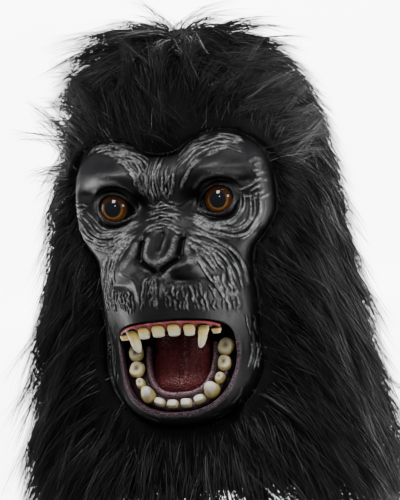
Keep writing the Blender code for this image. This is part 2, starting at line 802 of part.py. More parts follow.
def main():
    clear_scene()
    parts = collection_named("gorilla_mask")
    helpers = collection_named("cutters")
    hood_opening = face_prism("hood_opening", 2 * CLEARANCE, helpers)
    make_backing(parts, hood_opening)
    fur_opening = face_prism("fur_opening", 2 * CLEARANCE, helpers)
    make_fur(parts, helpers, fur_opening)
    skin = make_skin(parts)
    cut_mouth(skin, helpers)
    make_eyes(parts, helpers, skin)
    make_lining(parts)
    make_lower_jaw(parts)
    make_tongue(parts)
    make_upper_jaw(parts)


main()
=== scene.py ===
import math

import bmesh
import bpy
import numpy as np
from mathutils import Matrix, Vector
from mathutils.bvhtree import BVHTree


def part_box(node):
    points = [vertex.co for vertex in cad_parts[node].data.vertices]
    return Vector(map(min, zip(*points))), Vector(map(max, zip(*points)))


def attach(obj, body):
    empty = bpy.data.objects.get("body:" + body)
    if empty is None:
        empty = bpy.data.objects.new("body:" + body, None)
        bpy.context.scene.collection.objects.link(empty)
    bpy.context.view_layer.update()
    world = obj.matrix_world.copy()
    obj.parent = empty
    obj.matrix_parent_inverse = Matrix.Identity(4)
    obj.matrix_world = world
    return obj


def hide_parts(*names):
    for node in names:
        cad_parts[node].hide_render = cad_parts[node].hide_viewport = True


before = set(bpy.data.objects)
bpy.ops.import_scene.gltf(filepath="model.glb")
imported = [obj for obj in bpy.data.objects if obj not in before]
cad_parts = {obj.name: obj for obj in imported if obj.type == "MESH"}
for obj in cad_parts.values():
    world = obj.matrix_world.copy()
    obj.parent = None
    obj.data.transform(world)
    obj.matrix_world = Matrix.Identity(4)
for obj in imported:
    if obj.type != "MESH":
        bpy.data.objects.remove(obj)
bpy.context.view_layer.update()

# The latex face is one skin cast in a mould: brow lobes, lids, nose, muzzle and lips are all
# part of it. It is set in the fur hood's face opening, its edge tucked under the trimmed fur.
# Its painter dry-brushed grey over the crests of the wrinkles; the folds and hollows are painted blacker still, as
# painted shade.
MM = 0.001
FACE_GRID = 300
FACE_OUTLINE = (
    # across as a share of the half width, down as a share of the height
    (0.00, 0.065), (0.16, 0.055), (0.29, 0.020), (0.50, 0.000), (0.72, 0.012),
    (0.89, 0.065), (0.97, 0.130), (1.00, 0.215), (0.99, 0.290), (0.91, 0.350),
    (0.79, 0.410), (0.77, 0.480), (0.78, 0.560), (0.77, 0.640), (0.77, 0.710),
    (0.78, 0.785), (0.72, 0.860), (0.58, 0.925), (0.34, 0.980), (0.00, 1.000),
)
MOUTH_OUTLINE = (
    (0.00, 0.000), (0.33, 0.006), (0.66, 0.035), (0.87, 0.090), (0.98, 0.180), (1.00, 0.320),
    (0.99, 0.490), (0.94, 0.640), (0.82, 0.790), (0.60, 0.915), (0.30, 0.985), (0.00, 1.000),
)
EYE_OPENING = (
    # millimetres from the middle of the left eye, outward and up
    (-17.0, -4.4), (-13.2, 2.8), (-7.4, 8.6), (-0.4, 10.9), (6.6, 9.6), (11.2, 4.6),
    (11.0, -2.6), (6.4, -8.4), (-1.0, -10.8), (-8.6, -9.2), (-13.2, -6.4),
)
LID_THICKNESS = 1.5

# Wide swellings and hollows on the cast form, in millimetres. Side 1 is the mask's left,
# -1 its right.
SWELLINGS = (
    # x, z, spread_x, spread_z, rise, sides
    (0.0, -178.0, 30.0, 22.0, 6.0, (1,)),
    (50.0, -240.0, 16.0, 28.0, -14.0, (1, -1)),
    (0.0, -290.0, 40.0, 14.0, -5.0, (1,)),
    (46.0, -99.0, 13.0, 7.0, 3.5, (1, -1)),
    (22.0, -121.0, 9.0, 7.0, -5.0, (1, -1)),
    (40.0, -110.5, 17.0, 4.5, -4.0, (1, -1)),
    (61.0, -112.0, 8.0, 4.5, -3.0, (1, -1)),
    (-0.5, -106.0, 9.0, 16.0, 3.0, (1,)),
    (42.0, -146.0, 18.0, 6.0, 2.5, (1, -1)),
    (29.5, -172.5, 8.5, 6.0, 6.5, (1, -1)),
    (21.0, -158.5, 5.0, 7.0, 2.5, (1, -1)),
    (0.0, -160.0, 11.0, 9.0, 2.0, (1,)),
    (18.0, -182.5, 12.0, 3.4, -4.5, (1,)),
    (-34.5, -183.5, 9.0, 3.2, -4.5, (1,)),
    (36.0, -193.0, 14.0, 8.0, 2.0, (1, -1)),
)

# Single folds of the nose, lids and brow: a ridge, or a groove where the rise is negative
FOLDS = (
    # width, rise, path as x, z points, sides
    (3.6, 5.0, ((9.5, -146.5), (10.8, -152.5), (10.2, -160.0), (6.5, -165.8), (0.0, -168.2)), (1, -1)),
    (2.6, -4.6, ((-1.0, -145.0), (-1.2, -153.0), (-1.0, -161.5)), (1,)),
    (2.7, -8.5, ((15.8, -150.5), (16.0, -158.5), (15.4, -166.0)), (1, -1)),
    (2.4, -7.5, ((15.4, -166.0), (10.0, -169.4), (4.6, -173.0), (1.0, -176.0)), (1, -1)),
    (4.2, 5.6, ((19.6, -150.0), (21.8, -159.5), (26.8, -166.5), (31.5, -169.5)), (1, -1)),
    (3.2, 3.6, ((28.0, -167.5), (19.5, -170.4), (9.4, -174.4), (4.4, -181.5), (0.4, -198.5)), (1,)),
    (3.2, 3.6, ((32.5, -171.4), (24.8, -175.8), (18.8, -179.6), (16.8, -187.5), (16.0, -197.5)), (-1,)),
    (2.6, 3.2, ((4.5, -88.0), (5.5, -104.0), (6.5, -123.5)), (-1,)),
    (1.5, -3.2, ((22.5, -122.0), (30.0, -112.8), (41.0, -109.5), (51.0, -112.0), (58.5, -119.5)), (1, -1)),
    (1.1, 1.3, ((24.5, -126.5), (31.0, -117.5), (39.5, -112.8), (49.5, -114.5), (56.0, -122.5)), (1, -1)),
    (1.0, 1.5, ((24.5, -130.5), (31.0, -135.2), (40.0, -137.8), (49.0, -135.6), (54.5, -127.5)), (1, -1)),
    (1.2, -2.0, ((25.0, -132.5), (32.0, -138.0), (41.0, -140.2), (50.0, -137.8), (56.5, -128.5)), (1, -1)),
)

# Families of wrinkles. A family fills the skin between its guides, each a path of x, z
# points, with count wrinkles between one guide and the next.
WRINKLE_FAMILIES = (
    # count, width, rise, guides
    (5, 0.80, 1.8, (
        ((-14.5, -83.5), (-22.0, -77.0), (-33.5, -75.0), (-45.5, -74.5), (-55.5, -77.0), (-65.0, -84.0)),
        ((-9.0, -92.0), (-15.5, -87.0), (-25.5, -82.5), (-37.0, -79.0), (-47.5, -78.5), (-60.5, -83.5)),
        ((-11.0, -103.5), (-14.5, -95.5), (-22.0, -89.0), (-30.0, -86.5), (-39.0, -83.5), (-50.0, -82.5)),
        ((-18.5, -112.0), (-20.5, -102.5), (-25.5, -95.5), (-31.0, -91.5)),
    )),
    (5, 0.80, 1.8, (
        ((15.5, -85.0), (19.0, -79.5), (26.0, -75.5), (35.5, -74.0), (46.0, -74.0), (56.0, -76.5), (65.5, -83.0)),
        ((12.5, -93.5), (20.0, -88.0), (26.0, -83.0), (34.5, -81.0), (44.0, -79.5), (56.5, -83.0), (69.0, -91.0)),
        ((13.5, -120.5), (18.5, -110.5), (25.0, -101.0), (33.5, -94.5), (42.0, -90.0), (53.0, -88.5), (66.0, -93.0)),
    )),
    (5, 0.80, 1.9, (
        ((-19.5, -98.0), (-18.5, -107.0), (-16.0, -118.5)),
        ((-9.5, -92.0), (-11.5, -107.0), (-11.5, -123.0)),
        ((1.0, -88.0), (-1.5, -107.0), (-2.0, -124.0)),
        ((11.5, -102.0), (8.5, -113.0), (5.5, -123.0)),
    )),
    (4, 0.80, 1.5, (
        ((-15.0, -126.5), (-6.0, -125.0), (2.0, -124.5), (13.0, -127.5)),
        ((-18.0, -136.0), (-7.5, -134.0), (2.5, -133.5), (16.0, -138.0)),
        ((-19.0, -147.0), (-8.5, -144.0), (2.0, -143.5), (15.5, -148.0)),
    )),
    (5, 0.80, 1.9, (
        ((57.5, -121.5), (58.0, -130.0), (52.5, -139.5), (43.5, -142.5), (34.0, -141.0), (25.5, -136.5), (15.5, -131.5)),
        ((65.5, -121.0), (66.5, -135.0), (62.5, -145.5), (53.5, -149.0), (41.5, -147.0), (27.5, -142.0), (15.0, -135.5)),
        ((74.0, -124.5), (72.5, -140.0), (65.0, -153.0), (54.0, -157.0), (40.5, -153.0), (28.0, -147.0), (15.5, -140.5)),
    )),
    (5, 0.80, 1.9, (
        ((-66.5, -125.0), (-61.0, -130.0), (-54.5, -136.5), (-45.0, -141.0), (-35.0, -140.0), (-26.5, -136.5), (-17.0, -132.0)),
        ((-75.0, -130.0), (-66.0, -141.5), (-57.0, -148.5), (-44.5, -149.0), (-35.0, -146.5), (-20.0, -139.5)),
        ((-95.0, -142.5), (-67.0, -151.0), (-51.5, -157.0), (-38.5, -155.5), (-27.0, -148.5)),
    )),
    (5, 0.80, 1.8, (
        ((18.0, -146.5), (28.5, -151.0), (41.5, -156.5), (51.0, -166.0), (55.5, -178.5), (58.0, -195.5)),
        ((19.0, -151.0), (29.5, -158.0), (38.5, -165.5), (45.0, -176.0), (49.0, -189.0), (52.0, -205.5)),
        ((22.5, -158.5), (30.0, -166.0), (34.5, -177.5), (38.0, -189.0), (41.0, -203.0)),
    )),
    (6, 0.80, 1.8, (
        ((-21.0, -145.0), (-33.0, -151.0), (-44.5, -157.5), (-53.0, -167.0), (-61.5, -182.5), (-60.0, -197.0)),
        ((-23.0, -148.5), (-33.5, -155.5), (-41.5, -163.0), (-46.0, -175.0), (-48.0, -189.5)),
        ((-24.0, -151.5), (-32.0, -161.0), (-38.5, -171.0), (-42.0, -183.5)),
    )),
    (16, 0.80, 1.5, (
        ((5.0, -185.0), (4.0, -195.0), (4.5, -205.0)),
        ((50.5, -186.5), (52.0, -198.5), (51.0, -211.5)),
    )),
    (12, 0.80, 1.5, (
        ((-51.5, -183.5), (-53.5, -194.0), (-51.5, -203.5)),
        ((-23.0, -187.0), (-23.0, -195.0), (-23.0, -204.0)),
    )),
    (4, 0.80, 1.4, (
        ((-10.0, -176.0), (-12.5, -187.0), (-16.0, -203.5)),
        ((-4.5, -177.0), (-5.5, -188.0), (-7.0, -203.5)),
        ((-1.0, -177.0), (-2.0, -188.5), (-3.5, -204.5)),
    )),
    (4, 0.80, 1.5, (
        ((56.0, -119.5), (64.0, -118.5), (74.0, -112.0)),
        ((62.0, -127.5), (69.0, -128.0), (77.5, -124.0)),
    )),
    (5, 0.80, 1.3, (
        ((67.0, -99.0), (72.0, -97.5), (79.0, -99.5)),
        ((70.0, -114.5), (74.0, -113.5), (78.5, -114.5)),
    )),
    (4, 0.80, 1.4, (
        ((-61.0, -121.5), (-68.0, -120.5), (-96.5, -117.0)),
        ((-65.0, -127.5), (-72.0, -128.5), (-96.5, -126.0)),
    )),
    (5, 0.80, 1.3, (
        ((53.5, -213.5), (55.5, -235.0), (51.5, -261.0)),
        ((59.0, -214.0), (60.5, -238.0), (56.5, -264.0)),
    )),
    (5, 0.80, 1.3, (
        ((-45.0, -213.0), (-44.0, -234.0), (-43.0, -260.5)),
        ((-55.5, -213.0), (-56.0, -237.0), (-55.5, -263.5)),
    )),
    (4, 0.80, 0.8, (
        ((49.0, -267.0), (37.0, -282.5), (19.5, -290.5)),
        ((52.5, -270.0), (40.0, -287.0), (20.0, -295.0)),
    )),
    (4, 0.80, 0.8, (
        ((-42.0, -266.5), (-32.5, -282.0), (-15.5, -290.0)),
        ((-48.5, -269.0), (-40.0, -287.0), (-20.5, -295.0)),
    )),
)

# Painted shade, deepest round the eyes and beside the nose, where the brow and nose shade the skin
PAINTED_SHADE = (
    # x, z, spread_x, spread_z, strength, sides
    (40.0, -109.5, 19.0, 6.0, 0.85, (1, -1)),
    (22.0, -121.0, 9.0, 8.0, 0.9, (1, -1)),
    (62.0, -112.0, 9.0, 5.0, 0.6, (1, -1)),
    (16.5, -182.0, 13.0, 3.5, 0.7, (1,)),
    (-34.5, -183.5, 11.0, 3.5, 0.7, (1,)),
    (15.0, -159.5, 3.0, 9.0, 0.9, (1, -1)),
    (-1.5, -207.5, 48.0, 5.0, 0.45, (1,)),
    (45.5, -219.5, 7.0, 9.0, 0.5, (1, -1)),
)


def smooth_path(knots, steps, closed=False):
    """A smooth curve through its knots, as an array of points."""
    knots = np.array(knots, float)
    count = len(knots)
    spans = count if closed else count - 1
    points = []
    for i in range(spans):
        if closed:
            a, b, c, d = (knots[(i + k) % count] for k in (-1, 0, 1, 2))
        else:
            a, b, c, d = (knots[min(max(i + k, 0), count - 1)] for k in (-1, 0, 1, 2))
        t = np.arange(steps)[:, None] / steps
        bend = (2 * a - 5 * b + 4 * c - d) * t * t + (3 * b - a - 3 * c + d) * t**3
        points.append(0.5 * (2 * b + (c - a) * t + bend))
    if not closed:
        points.append(knots[-1:])
    return np.concatenate(points)


def whole_outline(half, low, high):
    """A closed outline in millimetres from its right half and a node's box."""
    knots = list(half) + [(-across, down) for across, down in reversed(half[1:-1])]
    shares = smooth_path(knots, 8, closed=True)
    x = shares[:, 0] * (high.x - low.x) / 2 / MM
    z = (high.z - shares[:, 1] * (high.z - low.z)) / MM
    return np.stack([x, z], 1)


def path_distance(points, path):
    """Distance of each point from an open path, and the share of its length passed there."""
    start, span = path[:-1], np.diff(path, axis=0)
    length = np.linalg.norm(span, axis=1)
    before = np.concatenate([[0], np.cumsum(length)[:-1]])
    rel = points[:, None] - start[None]
    t = np.clip((rel * span).sum(2) / np.maximum(length**2, 1e-9), 0, 1)
    gap = np.linalg.norm(rel - t[..., None] * span, axis=2)
    nearest = gap.argmin(1)
    pick = np.arange(len(points))
    along = (before[nearest] + t[pick, nearest] * length[nearest]) / length.sum()
    return gap[pick, nearest], along


def inside_loop(points, loop):
    """Whether each point lies inside a closed loop."""
    a, b = loop, np.roll(loop, -1, 0)
    crosses = (a[None, :, 1] > points[:, None, 1]) != (b[None, :, 1] > points[:, None, 1])
    rise = np.where(np.abs(b[:, 1] - a[:, 1]) < 1e-12, 1e-12, b[:, 1] - a[:, 1])
    at = a[None, :, 0] + (points[:, None, 1] - a[None, :, 1]) / rise * (b[:, 0] - a[:, 0])
    return (crosses & (points[:, None, 0] < at)).sum(1) % 2 == 1


def square_to_outline(square, loop, middle):
    """Moves points of the square -1..1 into an outline that is a star about its middle."""
    a, b = square[:, 0], square[:, 1]
    disc = np.stack([a * np.sqrt(1 - b * b / 2), b * np.sqrt(1 - a * a / 2)], 1)
    out = loop - middle
    angles = np.arctan2(out[:, 1], out[:, 0])
    order = np.argsort(angles)
    corners, angles = out[order], angles[order]
    slot = np.searchsorted(angles, np.arctan2(disc[:, 1], disc[:, 0])) % len(angles)
    here, there = corners[slot - 1], corners[slot]
    side = there - here
    reach = np.hypot(disc[:, 0], disc[:, 1])
    doubled_area = here[:, 0] * there[:, 1] - here[:, 1] * there[:, 0]
    facing = disc[:, 0] * side[:, 1] - disc[:, 1] * side[:, 0]
    scale = doubled_area / np.where(reach < 1e-9, 1, facing) * reach
    return middle + disc * scale[:, None]


def blurred(field, radius, weight=None):
    """A grid field averaged over its neighbours; cells without weight are filled in."""
    weight = np.ones_like(field) if weight is None else weight.astype(float)
    top, bottom = field * weight, weight
    reach = np.arange(-3 * radius, 3 * radius + 1)
    kernel = np.exp(-((reach / radius) ** 2))
    for axis in (0, 1):
        wide = [(3 * radius, 3 * radius) if k == axis else (0, 0) for k in (0, 1)]
        sums = []
        for part in (top, bottom):
            padded = np.pad(part, wide)
            moved = (
                padded.take(range(k, k + part.shape[axis]), axis) * share
                for k, share in enumerate(kernel)
            )
            sums.append(sum(moved))
        top, bottom = sums
    return top / np.maximum(bottom, 1e-9)


def rounded_step(value, low, high):
    t = np.clip((value - low) / (high - low), 0, 1)
    return t * t * (3 - 2 * t)


def crest(points, path, width, rise, ridge, groove):
    """Raises a ridge along a path with a groove on each side of it, tapered at its ends."""
    low, high = path.min(0) - 3 * width, path.max(0) + 3 * width
    near = np.flatnonzero(((points > low) & (points < high)).all(1))
    if not len(near):
        return
    gap, along = path_distance(points[near], path)
    taper = np.minimum(rounded_step(along, 0, 0.16), rounded_step(1 - along, 0, 0.16))
    height = rise * (0.25 + 0.75 * taper)
    across = gap / width
    ridge[near] = np.maximum(ridge[near], height * np.exp(-(across**2)))
    trench = -0.45 * height * np.exp(-(((across - 1.75) / 0.55) ** 2))
    groove[near] = np.minimum(groove[near], trench)


face_low, face_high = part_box("face_skin")
lining_low, lining_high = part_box("mouth_lining")
eye_boxes = {side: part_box(name) for side, name in ((1, "eye_left"), (-1, "eye_right"))}
eye_low, eye_high = eye_boxes[1]
eye_middle = (eye_low + eye_high) / 2 / MM
eye_radius = (eye_high.x - eye_low.x) / 2 / MM

face_loop = whole_outline(FACE_OUTLINE, face_low, face_high)
mouth_loop = whole_outline(MOUTH_OUTLINE, lining_low, lining_high)
eye_loops = {}
for side in (1, -1):
    opening = smooth_path(EYE_OPENING, 8, closed=True)
    eye_loops[side] = opening * (side, 1) + (side * eye_middle.x, eye_middle.z)

ticks = np.linspace(-1, 1, FACE_GRID)
square = np.stack(np.meshgrid(ticks, ticks, indexing="ij"), -1).reshape(-1, 2)
middle = np.array([0.0, face_loop[:, 1].max() * 0.54 + face_loop[:, 1].min() * 0.46])
flat = square_to_outline(square, face_loop, middle)

# The cast form follows the mask's own face, and is smoothed
face_tree = BVHTree.FromPolygons(
    [v.co.copy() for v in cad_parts["face_skin"].data.vertices],
    [tuple(p.vertices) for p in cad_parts["face_skin"].data.polygons],
)
AHEAD = Vector((0, 1, 0))
reach = np.full(len(flat), np.nan)
for i, (x, z) in enumerate(flat * MM):
    hit = face_tree.ray_cast(Vector((x, -1, z)), AHEAD)[0]
    if hit:
        reach[i] = -hit.y / MM
lined = ~np.isnan(reach)
eyeless = np.ones(len(flat), bool)
for side in (1, -1):
    off = flat - (side * eye_middle.x, eye_middle.z)
    eyeless &= np.hypot(off[:, 0], off[:, 1]) > eye_radius + 1.5
known = lined & eyeless
shape = (FACE_GRID, FACE_GRID)
forward = np.where(known, reach, 0).reshape(shape)
forward = blurred(forward, 5, known.reshape(shape)).reshape(-1)
far = forward < 1
if far.any():
    filled = blurred(forward.reshape(shape), 30, ~far.reshape(shape)).reshape(-1)
    forward = np.where(far, filled, forward)

for x, z, spread_x, spread_z, rise, sides in SWELLINGS:
    for side in sides:
        off = (flat - (side * x, z)) / (spread_x, spread_z)
        forward += rise * np.exp(-(off**2).sum(1))

# The lids lie on the eyeballs, a lid's thickness proud of them
for side in (1, -1):
    off = np.hypot(*(flat - (side * eye_middle.x, eye_middle.z)).T)
    ball = (eye_radius + LID_THICKNESS) ** 2 - np.minimum(off, eye_radius) ** 2
    lid = -eye_middle.y + np.sqrt(ball)
    on_lid = 1 - rounded_step(off, eye_radius - 2, eye_radius + 6)
    forward += (lid - forward) * on_lid

random = np.random.default_rng(7)
ridge, groove = np.zeros(len(flat)), np.zeros(len(flat))
for width, rise, path, sides in FOLDS:
    for side in sides:
        curve = smooth_path(np.array(path) * (side, 1), 8)
        gap, along = path_distance(flat, curve)
        taper = np.minimum(rounded_step(along, 0, 0.2), rounded_step(1 - along, 0, 0.2))
        forward += rise * (0.3 + 0.7 * taper) * np.exp(-((gap / width) ** 2))
for count, width, rise, guides in WRINKLE_FAMILIES:
    shares = np.linspace(0, 1, 32)
    curves = []
    for guide in guides:
        curve = smooth_path(np.array(guide), 10)
        at = np.linspace(0, 1, len(curve))
        curves.append(np.stack([np.interp(shares, at, curve[:, k]) for k in (0, 1)], 1))
    total = count * (len(guides) - 1)
    for i in range(total):
        place = np.clip((i + random.uniform(-0.3, 0.3)) / (total - 1), 0, 1) * (len(guides) - 1)
        k = min(int(place), len(guides) - 2)
        curve = curves[k] * (k + 1 - place) + curves[k + 1] * (place - k)
        wobble = smooth_path(random.normal(0, 0.6, (10, 2)), 4)[:32]
        curve = curve + wobble
        late = random.uniform(0.10, 0.34) if i % 2 else 0.0
        breaks = [late + random.uniform(0, 0.06), random.uniform(0.86, 1.0)]
        if random.random() < 0.45:
            gap = random.uniform(0.45, 0.7)
            breaks[1:1] = [gap, gap + random.uniform(0.01, 0.06)]
        for start, end in zip(breaks[::2], breaks[1::2]):
            stretch = curve[int(start * 32) : max(int(end * 32), int(start * 32) + 4)]
            strength = random.uniform(0.6, 1.3)
            crest(flat, stretch, width * random.uniform(0.75, 1.2), rise * strength, ridge, groove)

lip_gap, _ = path_distance(flat, np.concatenate([mouth_loop, mouth_loop[:1]]))
edge_gap, _ = path_distance(flat, np.concatenate([face_loop, face_loop[:1]]))
lid_gap = np.minimum(*(
    path_distance(flat, np.concatenate([loop, loop[:1]]))[0] for loop in eye_loops.values()
))
calm = rounded_step(lip_gap, 3, 9) * rounded_step(lid_gap, 1.2, 3.0) * rounded_step(edge_gap, 0, 3)
forward += (ridge + groove) * calm
below_corner = rounded_step(-flat[:, 1], -mouth_loop[:, 1].max() + 14, -mouth_loop[:, 1].max() + 26)
forward += 1.4 * below_corner * np.exp(-(((lip_gap - 2.4) / 1.8) ** 2))

relief = forward - blurred(forward.reshape(shape), 4).reshape(-1)
fine_relief = forward - blurred(forward.reshape(shape), 2).reshape(-1)
brushed = np.maximum(rounded_step(ridge * calm, 0.30, 1.5), 0.55 * rounded_step(relief, 0.30, 1.1))
brushed = brushed * rounded_step(edge_gap, 0.5, 4)
# Painted shade: the grooves and hollows are painted blacker than the latex around them.
painted_fold_shade = np.maximum(rounded_step(-groove * calm, 0.06, 0.45), rounded_step(-relief, 0.12, 0.7))
on_edge = np.abs(square).max(1) > 0.999
edge_flat, edge_forward = flat[on_edge], forward[on_edge]
# dark is painted shade round the eyes and beside the nose: it deepens the fold shade and dims the dry-brushed grey.
dark = np.zeros(len(flat))
for x, z, spread_x, spread_z, strength, sides in PAINTED_SHADE:
    for side in sides:
        off = (flat - (side * x, z)) / (spread_x, spread_z)
        dark = np.maximum(dark, strength * np.exp(-(off**2).sum(1)))
painted_fold_shade = np.maximum(painted_fold_shade, dark)
brushed = brushed * (1 - 0.75 * dark)
# The lower lip's rim: a dark purple band whose pale speckles are painted highlight along its crest.
lip_tint_and_glint = below_corner * (1 - rounded_step(lip_gap, 1.4, 3.6))
# Painted highlight: a thin pale line along the edge of each lower lid.
lid_highlight = (1 - rounded_step(lid_gap, 0.3, 1.0)) * (flat[:, 1] < eye_middle.z - 1)


def grid_faces(columns, rows):
    """The quads of a grid of columns x rows points."""
    i, j = np.meshgrid(np.arange(columns - 1), np.arange(rows - 1), indexing="ij")
    corner = (i * rows + j).reshape(-1)
    return np.stack([corner, corner + rows, corner + rows + 1, corner + 1], 1)


def mesh_from(name, points, faces):
    """A smooth-shaded mesh object from arrays of points in metres and of faces."""
    mesh = bpy.data.meshes.new(name)
    mesh.from_pydata(np.asarray(points).tolist(), [], np.asarray(faces).tolist())
    mesh.validate()
    mesh.shade_smooth()
    made = bpy.data.objects.new(name, mesh)
    bpy.context.scene.collection.objects.link(made)
    return made


def paint(made, name, values):
    """Keeps one number a point for the material to read."""
    layer = made.data.attributes.new(name, "FLOAT", "POINT")
    layer.data.foreach_set("value", np.asarray(values, np.float32))


# The mouth and eye openings are cut: cells inside go, and the edge is drawn to the opening
faces = grid_faces(FACE_GRID, FACE_GRID)
openings = [mouth_loop, *eye_loops.values()]
owner = np.full(len(flat), -1)
for k, loop in enumerate(openings):
    box_near = ((flat > loop.min(0) - 1) & (flat < loop.max(0) + 1)).all(1)
    candidates = np.flatnonzero(box_near)
    owner[candidates[inside_loop(flat[candidates], loop)]] = k
gone = (owner[faces] >= 0).all(1)
faces = faces[~gone]
edge_points = np.unique(faces[(owner[faces] >= 0).any(1)])
edge_points = edge_points[owner[edge_points] >= 0]
for k, loop in enumerate(openings):
    drawn = edge_points[owner[edge_points] == k]
    closed = np.concatenate([loop, loop[:1]])
    start, span = closed[:-1], np.diff(closed, axis=0)
    rel = flat[drawn][:, None] - start[None]
    t = np.clip((rel * span).sum(2) / (span**2).sum(1), 0, 1)
    spots = start + t[..., None] * span
    nearest = np.linalg.norm(flat[drawn][:, None] - spots, axis=2).argmin(1)
    flat[drawn] = spots[np.arange(len(drawn)), nearest]

used = np.unique(faces)
renumber = np.full(len(flat), -1)
renumber[used] = np.arange(len(used))
points = np.stack([flat[:, 0], -forward, flat[:, 1]], 1)[used] * MM
face = mesh_from("latex_face", points, renumber[faces][:, ::-1])
for name, values in (("brushed", brushed), ("painted_fold_shade", painted_fold_shade), ("lip_tint_and_glint", lip_tint_and_glint), ("lid_highlight", lid_highlight)):
    paint(face, name, values[used])
paint(face, "height", (relief / 1.5)[used])


def turn_edges_in(made, steps):
    """Carries the edges of the openings back into the skin in a rounded lip.

    steps holds, for each ring, how far it is drawn to its opening's middle and set back.
    """
    shape = bmesh.new()
    shape.from_mesh(made.data)
    outline = min(v.co.z for v in shape.verts), max(v.co.z for v in shape.verts)
    rims = [e for e in shape.edges if e.is_boundary]
    loops = []
    left = set(rims)
    while left:
        loop = {left.pop()}
        grown = set(loop)
        while grown:
            grown = {n for e in grown for v in e.verts for n in v.link_edges if n in left}
            left -= grown
            loop |= grown
        loops.append(loop)
    for loop in loops:
        verts = {v for e in loop for v in e.verts}
        if max(v.co.z for v in verts) - min(v.co.z for v in verts) > 0.9 * (outline[1] - outline[0]):
            continue
        centre = sum((v.co for v in verts), Vector()) / len(verts)
        ring = list(loop)
        for inward, back in steps:
            grown = bmesh.ops.extrude_edge_only(shape, edges=ring)["geom"]
            moved = [g for g in grown if isinstance(g, bmesh.types.BMVert)]
            for v in moved:
                pull = Vector((centre.x - v.co.x, 0, centre.z - v.co.z)).normalized()
                v.co += pull * inward * MM + Vector((0, back * MM, 0))
            ring = [g for g in grown if isinstance(g, bmesh.types.BMEdge)]
    bmesh.ops.recalc_face_normals(shape, faces=shape.faces)
    shape.to_mesh(made.data)
    shape.free()
    made.data.shade_smooth()


turn_edges_in(face, ((0.25, 0.5), (0.3, 1.2), (0.1, 2.0), (0.0, 3.0)))


def new_material(name):
    """A material with its shader and a short way to add and join nodes."""
    material = bpy.data.materials.new(name)
    material.use_nodes = True
    tree = material.node_tree
    return material, tree, tree.nodes["Principled BSDF"]


def node(tree, kind, sockets=None, **settings):
    made = tree.nodes.new(kind)
    for key, value in settings.items():
        setattr(made, key, value)
    for key, value in (sockets or {}).items():
        if isinstance(value, bpy.types.NodeSocket):
            tree.links.new(value, made.inputs[key])
        else:
            made.inputs[key].default_value = value
    return made


def mixed(tree, share, first, second):
    """A colour mixed from two by a share."""
    made = tree.nodes.new("ShaderNodeMix")
    made.data_type = "RGBA"
    for key, value in (("Factor", share), ("A", first), ("B", second)):
        socket = next(s for s in made.inputs if s.name == key and (
            s.type == ("VALUE" if key == "Factor" else "RGBA")))
        if isinstance(value, bpy.types.NodeSocket):
            tree.links.new(value, socket)
        else:
            socket.default_value = value if key == "Factor" else (*value, 1)
    return next(s for s in made.outputs if s.type == "RGBA")


def spread(tree, value, low, high, to_low=0.0, to_high=1.0):
    """A value moved smoothly from one range to another and kept inside it."""
    made = node(
        tree, "ShaderNodeMapRange",
        {"Value": value, "From Min": low, "From Max": high, "To Min": to_low, "To Max": to_high},
        interpolation_type="SMOOTHSTEP",
    )
    return made.outputs["Result"]


def maths(tree, operation, first, second=0.5):
    made = tree.nodes.new("ShaderNodeMath")
    made.operation = operation
    for socket, value in zip(made.inputs, (first, second)):
        if isinstance(value, bpy.types.NodeSocket):
            tree.links.new(value, socket)
        else:
            socket.default_value = value
    return made.outputs[0]


def attribute(tree, name):
    return node(tree, "ShaderNodeAttribute", attribute_name=name).outputs["Fac"]


def grain(tree, size, detail=4.0, stretch=(1, 1, 1), rough=0.55):
    """Noise whose grains are about size metres across, stretched along the axes."""
    place = node(tree, "ShaderNodeTexCoord").outputs["Object"]
    scale = [1 / (size * s) for s in stretch]
    moved = node(tree, "ShaderNodeMapping", {"Vector": place, "Scale": scale}).outputs["Vector"]
    made = node(
        tree, "ShaderNodeTexNoise", {"Vector": moved, "Scale": 1.0, "Detail": detail, "Roughness": rough}
    )
    return made.outputs["Fac"]


def bumped(tree, shader, height, depth, strength=1.0):
    made = node(tree, "ShaderNodeBump", {"Height": height, "Distance": depth, "Strength": strength})
    tree.links.new(made.outputs["Normal"], shader.inputs["Normal"])
    return made


def face_latex():
    material, tree, shader = new_material("dry_brushed_black_latex")
    patch = grain(tree, 14 * MM, 3.0)
    pores = grain(tree, 0.9 * MM, 3.0)
    streak = grain(tree, 2.2 * MM, 4.0)
    black = mixed(tree, patch, (0.010, 0.010, 0.011), (0.024, 0.024, 0.026))
    # Painted shade: the folds and hollows go blacker still.
    folds = mixed(tree, attribute(tree, "painted_fold_shade"), black, (0.004, 0.004, 0.005))
    catch = maths(tree, "MULTIPLY", attribute(tree, "brushed"), spread(tree, streak, 0.30, 0.66, 0.12, 1.0))
    uneven = spread(tree, grain(tree, 6 * MM, 2.0), 0.32, 0.62, 0.35, 1.0)
    grey = mixed(tree, maths(tree, "MULTIPLY", catch, uneven), folds, (0.40, 0.40, 0.405))
    # Lower lip band: dark purple paint with pale speckles of painted highlight.
    speckle = spread(tree, grain(tree, 0.7 * MM, 2.0), 0.50, 0.66)
    lip = mixed(tree, speckle, (0.022, 0.010, 0.016), (0.36, 0.23, 0.29))
    with_lip = mixed(tree, attribute(tree, "lip_tint_and_glint"), grey, lip)
    # Painted highlight along the lower lids.
    colour = mixed(tree, attribute(tree, "lid_highlight"), with_lip, (0.07, 0.055, 0.062))
    tree.links.new(colour, shader.inputs["Base Color"])
    rough = spread(tree, patch, 0.3, 0.7, 0.34, 0.48)
    tree.links.new(rough, shader.inputs["Roughness"])
    shader.inputs["Specular IOR Level"].default_value = 0.36
    bumped(tree, shader, maths(tree, "ADD", maths(tree, "MULTIPLY", pores, 0.5), streak), 0.35 * MM, 0.6)
    return material


face.data.materials.append(face_latex())
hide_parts("face_skin")
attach(face, "root")


# The eyes are balls of clear acrylic with a painted amber iris and a blue-black pupil,
# fixed behind the lids. The iris is darker at its top, where the lid shades it.
IRIS_RADIUS = 11.4
PUPIL_RADIUS = 6.3


